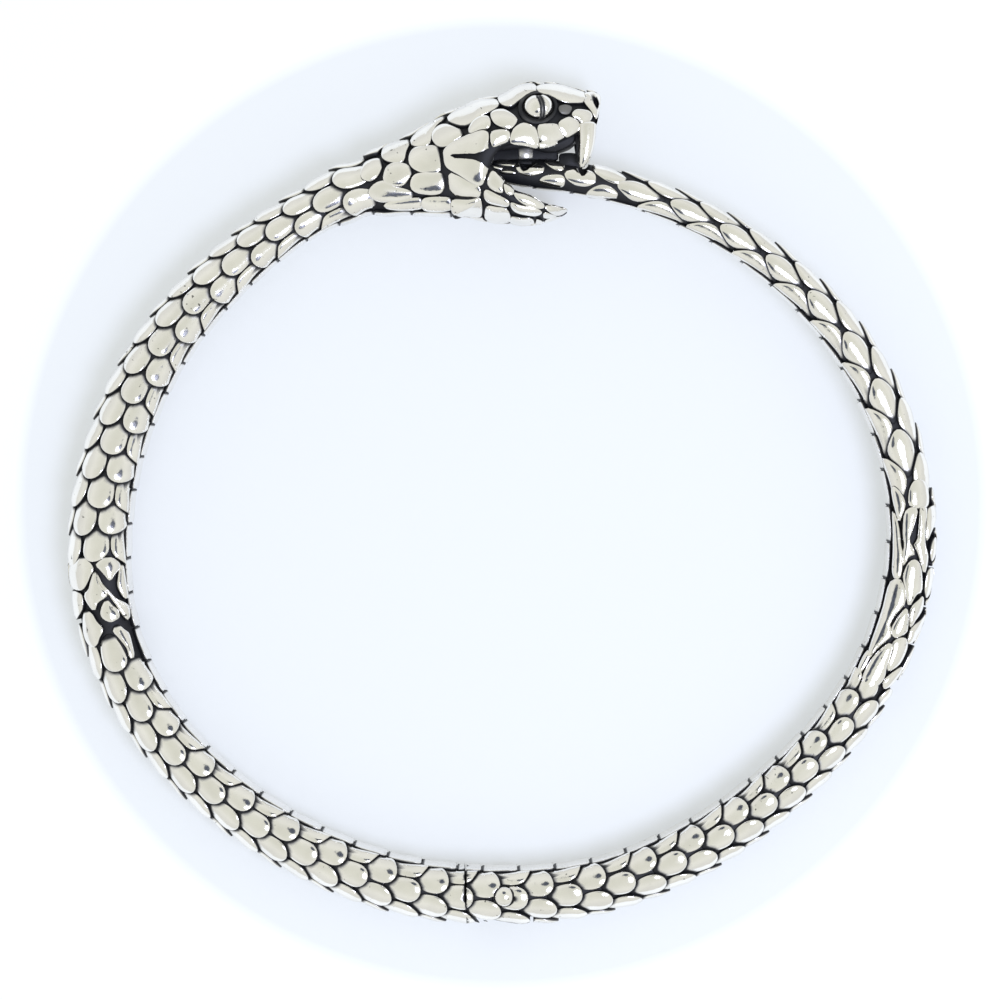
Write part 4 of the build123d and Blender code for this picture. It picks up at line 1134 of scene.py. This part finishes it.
# Its middle line in the photograph's pixels, and its radius
FANG_PHOTO = ((586.8, 121.5, 0.30), (586.9, 122.4, 0.60), (586.9, 124.5, 0.77), (586.9, 130.0, 0.75),
              (586.7, 136.0, 0.72), (586.2, 143.0, 0.68), (585.6, 149.0, 0.62), (584.7, 155.0, 0.54),
              (583.4, 160.0, 0.42), (582.0, 164.0, 0.28), (580.9, 166.6, 0.13))
path = np.array(photo_outline([row[:2] for row in FANG_PHOTO], spread))
thick = np.array([row[2] for row in FANG_PHOTO])
fine = np.linspace(0, len(path) - 1, 26)
path = np.column_stack([np.interp(fine, np.arange(len(path)), path[:, k]) for k in (0, 1)])
thick = np.interp(fine, np.arange(len(thick)), thick)
slope = unit(np.gradient(path, axis=0))
for side in (1, -1):
    loops = []
    for spot, way, radius in zip(path, slope, thick):
        ring = [(spot[0] + way[1] * radius * math.cos(a), spot[1] - way[0] * radius * math.cos(a),
                 side * (spread + FANG_FLAT * radius * math.sin(a))) for a in angles(24)]
        loops.append(fangs.add(ring, 1.0))
    root = fangs.add((*(path[0] - slope[0] * 0.08), side * spread), 1.0)[0]
    tip = fangs.add((*(path[-1] + slope[-1] * 0.06), side * spread), 1.0)[0]
    fangs.tube([loop[::side] for loop in loops])
    fangs.fan(loops[0][::-side], root)
    fangs.fan(loops[-1][::side], tip)

# Painted shade: a black blade along the inner side of each fang, where its shade lies, in the photograph's
# pixels
FANG_SHADE_BLADE = ((574.2, 132), (580, 130), (580.5, 164), (578.6, 164), (577.4, 154), (575.6, 143))
SHADE_BLADE_SPAN = (spread - 0.24, spread + 0.02)      # from its inner side to just past the fang's middle plane
shade_blade = photo_outline(FANG_SHADE_BLADE, spread)[::-1]
for side in (1, -1):
    prism(fangs, shade_blade, *sorted(side * z for z in SHADE_BLADE_SPAN))

# The palate: a wide black ridge between the lips, and a narrow one that reaches into the groove of the tail.
# Both are
#  painted shade with some oxide: black blocks that fill the dark inside of the mouth
PALATE_HALF = 1.75
WEB_HALF = 0.35
PALATE = ((487, 149), (492, 144), (500, 141), (512, 142), (530, 145), (545, 146), (558, 142), (566, 138),
          (575, 133), (578, 136), (575.4, 143), (571, 147.4), (564, 150.6), (556, 153.2), (545, 153.4),
          (534, 150.6), (516, 150.2), (500, 152), (490, 152.5))
PALATE_WEB = ((489, 150), (500, 146), (530, 148), (556.5, 149), (557.9, 153), (557.9, 160), (552, 160.8),
              (545, 160.8), (537, 161), (530, 162.4), (516, 163), (499, 163), (489.5, 161))


def ridge_block(sheet, outline, half):
    """A black upright plate between -half and half, outlined in the photograph's pixels, its rims rounded:
    painted shade.
    """
    rim = facing_up(spline_loop(photo_outline(outline, 0.0), 48))
    heart = rim.mean(axis=0)
    loops = []
    for share, inset in ((-1.0, 0.92), (-0.94, 0.98), (-0.8, 1.0), (0.8, 1.0), (0.94, 0.98), (1.0, 0.92)):
        flat = heart + (rim - heart) * inset
        loops.append(sheet.add(np.column_stack((flat, np.full(len(flat), share * half))), 0.0))
    sheet.tube(loops, closed=True)


palate = Sheet()
ridge_block(palate, PALATE, PALATE_HALF)
ridge_block(palate, PALATE_WEB, WEB_HALF)

# Tail arm
tail = Sheet()
TAIL_BELLY_FLOOR = 0.24
TIP_RISE = (84.0, 5.0, 0.30)    # its dark floor rises to the tip: from where, over which length, how much
join_start, join_end = RIGHT_JOIN[0] * ROUND, RIGHT_JOIN[1] * ROUND
core(tail, tail_body, TAIL_CORE, TAIL_TIP,
     lambda x: FLOOR - TIP_RISE[2] * ease((x - TIP_RISE[0]) / TIP_RISE[1]), TAIL_BELLY_FLOOR)
tail_centres = row_centres(BAND_ROWS, TAIL_ARM_PHASE * ROUND, TAIL_ROOT, join_start)
tail_centres += table_centres(JOIN_SPOTS, join_start, join_end)
tail_centres += row_centres(TAIL_ROWS, TAIL_PHASE * ROUND, join_end, TAIL_TIP)
scales(tail, tail_body, tail_centres, TAIL_ROOT, TAIL_TIP,
       lambda x, y: TAIL_CORE + 0.5 < x < TAIL_CARVED and not RIGHT_CARVED[0] < x < RIGHT_CARVED[1],
       power=3.6, margin=0.07)
taken = plates(tail, tail_body, RIGHT_OUTLINES, lift=0.02, **RIGHT_LIE)
crest_plates(tail, tail_body, taken, RIGHT_CARVED[0] + CREST_INSET, RIGHT_CARVED[1] - CREST_INSET, 5,
             **RIGHT_LIE)
plates(tail, tail_body, MOUTH_OUTLINES, tilt=0.30, drop=0.18, fade=0.12)
scutes(tail, tail_body, TAIL_CORE, TAIL_TIP - 0.5)

head_mesh = arm.build("head_arm_skin")
jaw_mesh = jaw.build("head_arm_jaw")
cheek_mesh = cheek.build("head_arm_cheek")
eye_mesh = eyes.build("head_arm_eyes")
fang_mesh = fangs.build("head_arm_fangs")
palate_mesh = palate.build("head_arm_palate")
tail_mesh = tail.build("tail_arm_skin")

# Painted shade: a black upright plate on the tail's crest, filling the dark gap between the fang and the tail
CREST_HALF = 0.9
TAIL_RIDGE = ((559.6, 168), (559.1, 160), (559.4, 155.4), (565, 153.9), (575, 154.4), (578.4, 158),
              (578.8, 170))
crest = Sheet()
ridge_block(crest, TAIL_RIDGE, CREST_HALF)
crest_mesh = crest.build("tail_arm_crest")

gap_r = BARREL_R + HINGE_GAP
CUT_REACH = 6.0         # the hinge's cutters run this far out from the pin
CUT_OVERLAP = 0.5


def hinge_room(sheet):
    """The round room that the fork turns in."""
    prism(sheet, circle(*PIN, gap_r, 96), -FAR, FAR)


def hinge_side(sheet):
    """What the head's half leaves to the other on the tail's side."""
    x, y = PIN
    prism(sheet, rectangle(x - gap_r, y, x + CUT_REACH, y + CUT_REACH), -FAR, FAR)


def hinge_far(sheet):
    """The same beyond the middle of the hinge."""
    x, y = PIN
    prism(sheet, rectangle(x, y - CUT_REACH, x + CUT_REACH, y + CUT_OVERLAP), -FAR, FAR)


def tail_pocket(sheet):
    """Room for the tail's tip in the corner of the mouth, open towards the way it swings out."""
    cx, cy, _, _, thick, high, _ = tail_section(TAIL_TIP)
    wide = high + 2 * CLASP_GAP
    tall = thick + 2 * CLASP_GAP
    pocket = rectangle(cx - 2 * CLASP_GAP, cy - tall - CLASP_GAP, cx + 0.2 * HEAD_LONG, cy + tall)
    prism(sheet, pocket, -wide, wide)


# Nostrils: an upright oval on both sides, turned a little
NOSTRIL_PHOTO = (596.3, 102.5)
NOSTRIL_HALF = (0.19, 0.42)
NOSTRIL_WAY = (0.97, 0.22)      # cosine and sine of the turn
NOSTRIL_DEEP = 0.55


def nostrils(sheet):
    place = np.array(photo_spot(head_body, *NOSTRIL_PHOTO))
    spot = head_body.side(*place[:, None], np.array([0.0]))[0]
    c, s = NOSTRIL_WAY
    oval = []
    for angle in angles(24):
        across, along = NOSTRIL_HALF[0] * math.cos(angle), NOSTRIL_HALF[1] * math.sin(angle)
        oval.append((spot[0] + across * c - along * s, spot[1] + across * s + along * c))
    prisms(sheet, oval, spot[2] - NOSTRIL_DEEP)


# The dark slit in the cheek, its height where the photograph sees it, and how far down it is cut
CHEEK_LEVEL = 3.2
SLIT_LEVEL = 2.72
CHEEK_SLIT = ((450.5, 155.6), (453, 154.3), (463, 154.2), (474.4, 154.4), (481, 152.8), (488, 149.2),
              (496, 146), (496, 168), (487.5, 167.8), (482, 163.6), (474.4, 159.8), (465, 158.9),
              (455, 158.3))


def slits(sheet):
    prisms(sheet, facing_up(photo_outline(CHEEK_SLIT, CHEEK_LEVEL)), SLIT_LEVEL)


carve(head_mesh, hinge_room, hinge_side, hinge_far, tail_pocket, nostrils)
carve(cheek_mesh, slits)
carve(jaw_mesh, tail_pocket)
FORK_REACH = 9.0        # the fork's cutters run this far beyond the pin


def barrel_outside(sheet):
    """All that lies past the round end of the fork: the corner beyond the arc."""
    x, y = PIN
    arc = [(x + BARREL_R * math.cos(a), y + BARREL_R * math.sin(a))
           for a in np.linspace(-math.pi / 2, -math.pi, 40)]
    far_x, far_y = x - FORK_REACH, y - FORK_REACH
    prism(sheet, [(x, far_y), *arc, (far_x, y), (far_x, far_y)][::-1], -FAR, FAR)


def barrel_side(sheet):
    """All that lies past the fork's end along the band."""
    x, y = PIN
    prism(sheet, rectangle(x - FORK_REACH, y - FORK_REACH, x - BARREL_R, y + FORK_REACH), -FAR, FAR)


SHOWN_TONGUE_R = 1.72   # inside the belly plates, which close the slot on the wrist's side
slot_half = TONGUE_THICK / 2 + FORK_PLAY
slot_end = TONGUE_R + SLOT_DEEPER
TONGUE_CLEAR = 0.06
PIN_CLEAR = 0.03
pin_seat = tail_section(0.0)[5] - GROOVE


def fork_slot(sheet):
    """The slot that the tongue turns in."""
    x, y = PIN
    inner = y + SHOWN_TONGUE_R + TONGUE_CLEAR
    prism(sheet, rectangle(x - FORK_REACH, y - FORK_REACH, x + slot_end, inner), -slot_half, slot_half)


def pin_seats(sheet):
    """Round seats for the rivet's heads."""
    prisms(sheet, circle(*PIN, PIN_HEAD_R + PIN_CLEAR, 48), pin_seat)


def ridge(sheet):
    """Room for the catch tab along the tail's crest."""
    ridge_end = TAB_AT[0] * HEAD_LONG + TAB_LONG / 2 + 2 * CLASP_GAP
    ridge_start = CORNER * HEAD_LONG - BODY / 2
    half = TAB_THICK / 2 + CLASP_GAP
    low = TAB_AT[1] * HEAD_TALL - CLASP_GAP - TAB_LOWER
    prism(sheet, turned_block((ridge_start + ridge_end) / 2, low + BODY / 2, ridge_end - ridge_start, BODY),
          -half, half)


def bite(sheet):
    """Room for the tips of the fangs."""
    prism(sheet, circle(*head_point(BITE_AT[0] * HEAD_LONG, BITE_AT[1] * HEAD_TALL), NOTCH_R, 32),
          -CUT_REACH, CUT_REACH)


# Notches in the tail's side for the fang's tip and under the catch tab, in the photograph's pixels. Each has
# the height over the middle plane down to which it is cut
NOTCH_LEVEL = 1.2
NOTCHES = (
    (0.50, ((578.6, 160), (586.8, 160), (586.6, 171), (585, 175), (582.4, 176.2), (580, 174), (578.8, 170))),
    (0.74, ((519.5, 157), (534.5, 157), (535.5, 163), (529, 168.5), (525.6, 171), (522.4, 170),
            (520.2, 166))),
)
WEB_GROOVE_HALF = 0.5
WEB_GROOVE = ((560, 148), (560, 162.6), (528, 164.4), (528, 148))


def notches(sheet):
    for level, outline in NOTCHES:
        loop = spline_loop(photo_outline(outline, NOTCH_LEVEL), 28)
        prisms(sheet, facing_up(loop), level)


def web_groove(sheet):
    prism(sheet, photo_outline(WEB_GROOVE, 0.0)[::-1], -WEB_GROOVE_HALF, WEB_GROOVE_HALF)


carve(tail_mesh, barrel_outside, barrel_side, fork_slot, pin_seats, ridge, bite, notches, web_groove)


# Tongue, catch tab and pin
def puck(sheet, outline, z0, z1, bevel, tone):
    """An extruded outline with bevelled edges."""
    outline = np.array(outline)
    heart = outline.mean(axis=0)
    size = np.abs(outline - heart).max()
    small = heart + (outline - heart) * (1 - bevel / size)
    loops = []
    for flat, z in ((small, z0), (outline, z0 + bevel), (outline, z1 - bevel), (small, z1)):
        loops.append(sheet.add(np.column_stack((flat, np.full(len(flat), z))), tone))
    sheet.tube(loops, closed=True)


TONGUE_TONE = 0.80
TONGUE_BEVEL = 0.08
NECK_TONE = 0.15
NECK_BEVEL = 0.05
NECK_OUT = 1.2
half = TONGUE_THICK / 2
small = Sheet()
puck(small, circle(*PIN, SHOWN_TONGUE_R, 96), -half, half, TONGUE_BEVEL, TONGUE_TONE)
neck = 0.95 * SHOWN_TONGUE_R
neck_root = rectangle(PIN[0] - gap_r - NECK_OUT, PIN[1] - neck, PIN[0] - 1, PIN[1] + neck)
puck(small, neck_root, -half, half, NECK_BEVEL, NECK_TONE)
tongue_mesh = small.build("head_arm_tongue")

tab = Sheet()
TAB_PHOTO = ((518.5, 144), (533, 143.5), (533, 157.5), (532.3, 158.7), (519, 159.6), (518.5, 158.6))
TAB_BEVEL = 0.09
TAB_TONE = 0.62
half = TAB_THICK / 2
puck(tab, photo_outline(TAB_PHOTO, half)[::-1], -half, half, TAB_BEVEL, TAB_TONE)
tab_mesh = tab.build("head_arm_tab")

# The rivet: radius and height of its edge, then its dome by shares of the radius
PIN_LIFT = 0.02
EDGE_TONE = 0.3
pin = Sheet()
seat = pin_seat + PIN_LIFT
profile = [(PIN_R, 0.0), (PIN_R, seat), (PIN_HEAD_R * 0.98, seat), (PIN_HEAD_R, seat + 0.03),
           (PIN_HEAD_R, seat + PIN_RIM * 0.75), (PIN_HEAD_R * 0.96, seat + PIN_RIM)]
peak = seat + PIN_RIM + PIN_DOME
ball = (PIN_HEAD_R ** 2 + PIN_DOME ** 2) / (2 * PIN_DOME)
for share in (0.85, 0.68, 0.5, 0.3, 0.12):
    r = share * PIN_HEAD_R
    profile.append((r, peak - ball + math.sqrt(ball * ball - r * r)))
for side in (1, -1):
    loops = []
    for r, z in profile:
        bright = r < PIN_HEAD_R * 0.97 and z > seat + 0.1
        loops.append(pin.add([(x, y, side * z) for x, y in circle(*PIN, r, 40)],
                             1.0 if bright else EDGE_TONE))
    top = pin.add((*PIN, side * peak), 1.0)[0]
    for a, b in zip(loops, loops[1:]):
        pin.band(*(a, b)[::side])       # the lower half's faces turn the other way
    pin.fan(loops[-1][::side], top)
pin_mesh = pin.build("hinge_pin_rivet")


# Materials
def add_node(tree, kind, inputs=(), **settings):
    """Adds a shader node. Each input gets a value, or the output of another node that feeds it."""
    node = tree.nodes.new("ShaderNode" + kind)
    for key, value in settings.items():
        setattr(node, key, value)
    for key, value in dict(inputs).items():
        if isinstance(value, bpy.types.NodeSocket):
            tree.links.new(value, node.inputs[key])
        else:
            node.inputs[key].default_value = value
    return node


def add_range(tree, value, start, end, low, high, **settings):
    """Maps a value's stretch from start to end onto low to high."""
    inputs = {"Value": value, "From Min": start, "From Max": end, "To Min": low, "To Max": high}
    return add_node(tree, "MapRange", inputs, **settings).outputs["Result"]


def new_material(name):
    material = bpy.data.materials.new(name)
    material.use_nodes = True
    return material, material.node_tree, material.node_tree.nodes["Principled BSDF"]


# Black of the oxide in the hollows, and of the painted shade under overlapping scales, behind the fangs and
# in the mouth
BLACK_OXIDE_AND_SHADE = (0.012, 0.013, 0.017, 1)
SILVER = (0.93, 0.91, 0.865, 1)


def silver_material(name):
    """Worn cast silver: bright on the crowns, black where the tone is low, as oxide in the hollows and as
    painted shade.
    """
    material, tree, shader = new_material(name)
    place = add_node(tree, "TexCoord").outputs["Object"]
    tone = add_node(tree, "Attribute", attribute_name="tone").outputs["Fac"]

    def noise(scale, detail):
        return add_node(tree, "TexNoise", {"Vector": place, "Scale": scale, "Detail": detail}).outputs["Fac"]

    def worked_out(operation, *values):
        return add_node(tree, "Math", enumerate(values), operation=operation).outputs[0]

    def mixed(blend, factor, a, b):
        inputs = {"Factor": factor, "A": a, "B": b}
        return add_node(tree, "Mix", inputs, data_type="RGBA", blend_type=blend).outputs["Result"]

    def bump(strength, distance, inputs):
        inputs = {"Strength": strength, "Distance": distance, **inputs}
        return add_node(tree, "Bump", inputs).outputs["Normal"]

    grain = noise(scale=1400.0, detail=5.0)
    smear = noise(scale=420.0, detail=3.0)
    speck = noise(scale=3200.0, detail=1.0)
    field = noise(scale=210.0, detail=2.0)

    # Wear: the smear moves the tone a little, so the black creeps irregularly up the scales
    tone_with_wear = worked_out("ADD", tone, worked_out("MULTIPLY_ADD", smear, 0.5, -0.25))
    level = add_range(tree, tone_with_wear, 0.12, 0.92, 0.0, 1.0, interpolation_type="SMOOTHSTEP")

    # Colour: silver over black, a little tarnish, and dark pits in crowded fields of specks
    colour = mixed("MIX", level, BLACK_OXIDE_AND_SHADE, SILVER)
    colour = mixed("MULTIPLY", 1.0, colour, add_range(tree, smear, 0.35, 0.75, 1.0, 0.90))
    crowd = worked_out("MULTIPLY_ADD", field, 0.5, speck)
    colour = mixed("MULTIPLY", 1.0, colour, add_range(tree, crowd, 1.00, 1.07, 1.0, 0.25))

    soft = bump(strength=0.25, distance=0.0003, inputs={"Height": smear})
    for key, output in (("Base Color", colour), ("Roughness", add_range(tree, level, 0.0, 1.0, 0.55, 0.13)),
                        ("Metallic", add_range(tree, level, 0.0, 1.0, 0.35, 1.0)),
                        ("Normal", bump(0.22, 0.00006, {"Height": grain, "Normal": soft}))):
        tree.links.new(output, shader.inputs[key])
    return material


head_silver = silver_material("cast_silver_head_half")
tail_silver = silver_material("cast_silver_tail_half")
pin_silver = silver_material("rivet_silver")

head_pieces = (head_mesh, cheek_mesh, jaw_mesh, eye_mesh, fang_mesh, palate_mesh, tongue_mesh, tab_mesh)
for piece in head_pieces:
    piece.data.materials.clear()
    piece.data.materials.append(head_silver)
    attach(piece, "head_half")
    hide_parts("head_arm")
for piece in (tail_mesh, crest_mesh):
    piece.data.materials.clear()
    piece.data.materials.append(tail_silver)
    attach(piece, "tail_half")
    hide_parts("tail_arm")
pin_mesh.data.materials.append(pin_silver)
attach(pin_mesh, "tail_half")
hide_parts("hinge_pin")

# Floor: it glows, painted light that lightens the bangle's shadow on it, and glows whiter beyond the bangle's
# round
FLOOR_HALF = 1.2
FLOOR_LOWER = 0.00002
GLOW_STARTS, GLOW_ENDS = 0.0386, 0.0396
GLOW_NEAR, GLOW_FAR = 0.397, 0.52
floor_mesh = bpy.data.meshes.new("studio_floor")
floor_corners = rectangle(-FLOOR_HALF, -FLOOR_HALF, FLOOR_HALF, FLOOR_HALF)
floor_mesh.from_pydata([(*corner, 0) for corner in floor_corners], [], [(0, 1, 2, 3)])
floor = new_object("studio_floor", floor_mesh)
floor.location = (0, 0, -FLOOR_LOWER)
paper, tree, shader = new_material("glowing_floor")
shader.inputs["Base Color"].default_value = (0.46, 0.49, 0.53, 1)
shader.inputs["Roughness"].default_value = 0.8
shader.inputs["Specular IOR Level"].default_value = 0.1
shader.inputs["Emission Color"].default_value = (0.97, 0.985, 0.99, 1)
place = add_node(tree, "TexCoord").outputs["Object"]
away = add_node(tree, "VectorMath", {0: place}, operation="LENGTH").outputs["Value"]
glow = add_range(tree, away, GLOW_STARTS, GLOW_ENDS, GLOW_NEAR, GLOW_FAR)
tree.links.new(glow, shader.inputs["Emission Strength"])
floor_mesh.materials.append(paper)

# Camera straight above the spot under the photograph's middle, at its distance and field
SENSOR = 36.0
FIELD = 2 * MIDDLE_PIXEL * SCALE
middle = np.array((-0.17, 0.30, 3.25)) / 1000
camera_data = bpy.data.cameras.new("photo_camera")
camera_data.sensor_width = SENSOR
camera_data.lens = SENSOR * LENS_AWAY / FIELD
camera_data.clip_start = 0.01
camera = new_object("photo_camera", camera_data)
camera.location = (middle[0], middle[1], middle[2] + LENS_AWAY / 1000)
camera.rotation_euler = (0, 0, 0)
bpy.context.scene.camera = camera

# One bluish lamp from the front right
key_data = bpy.data.lights.new("key", "AREA")
key_data.shape = "DISK"
key_data.size = 0.115
key_data.energy = 0.42
key_data.color = (0.74, 0.78, 1.0)
key = new_object("key", key_data)
key.location = (0.085, -0.066, 0.265)
key.rotation_euler = (-Vector(key.location)).to_track_quat("-Z", "Y").to_euler()

# A dark lens front above the ring's middle, seen only in the silver
HOOD_R = 0.0135
HOOD_HIGH = 0.052
hood_mesh = bpy.data.meshes.new("lens_front")
hood_mesh.from_pydata([(x, y, 0.0) for x, y in circle(0, 0, HOOD_R, 48)], [], [tuple(range(48))])
hood = new_object("lens_front", hood_mesh)
hood.location = (CENTRE[0] / 1000, CENTRE[1] / 1000, HOOD_HIGH)
dark, tree, shader = new_material("lens_black")
shader.inputs["Base Color"].default_value = (0.05, 0.06, 0.09, 1)
shader.inputs["Roughness"].default_value = 0.7
hood_mesh.materials.append(dark)
hood.visible_camera = False
hood.visible_shadow = False
hood.visible_diffuse = False

# A pale tent all round, a little brighter above the horizon
TENT = ((0.0, (0.76, 0.77, 0.75, 1)), (1.0, (0.74, 0.75, 0.68, 1)), (0.25, (0.79, 0.80, 0.78, 1)),
        (0.6, (0.86, 0.87, 0.83, 1)))
world = bpy.data.worlds.new("light_tent")
bpy.context.scene.world = world
world.use_nodes = True
tree = world.node_tree
sky = tree.nodes["Background"]
place = add_node(tree, "TexCoord").outputs["Generated"]
split = add_node(tree, "SeparateXYZ", {0: place}).outputs["Z"]
ramp = add_node(tree, "ValToRGB", {"Fac": split})
steps = ramp.color_ramp.elements
for i, (position, shade) in enumerate(TENT):
    step = steps[i] if i < 2 else steps.new(position)
    step.position = position
    step.color = shade
tree.links.new(ramp.outputs["Color"], sky.inputs["Color"])
sky.inputs["Strength"].default_value = 1.0

settings = bpy.context.scene.view_settings
settings.view_transform = "Standard"
settings.look = "None"
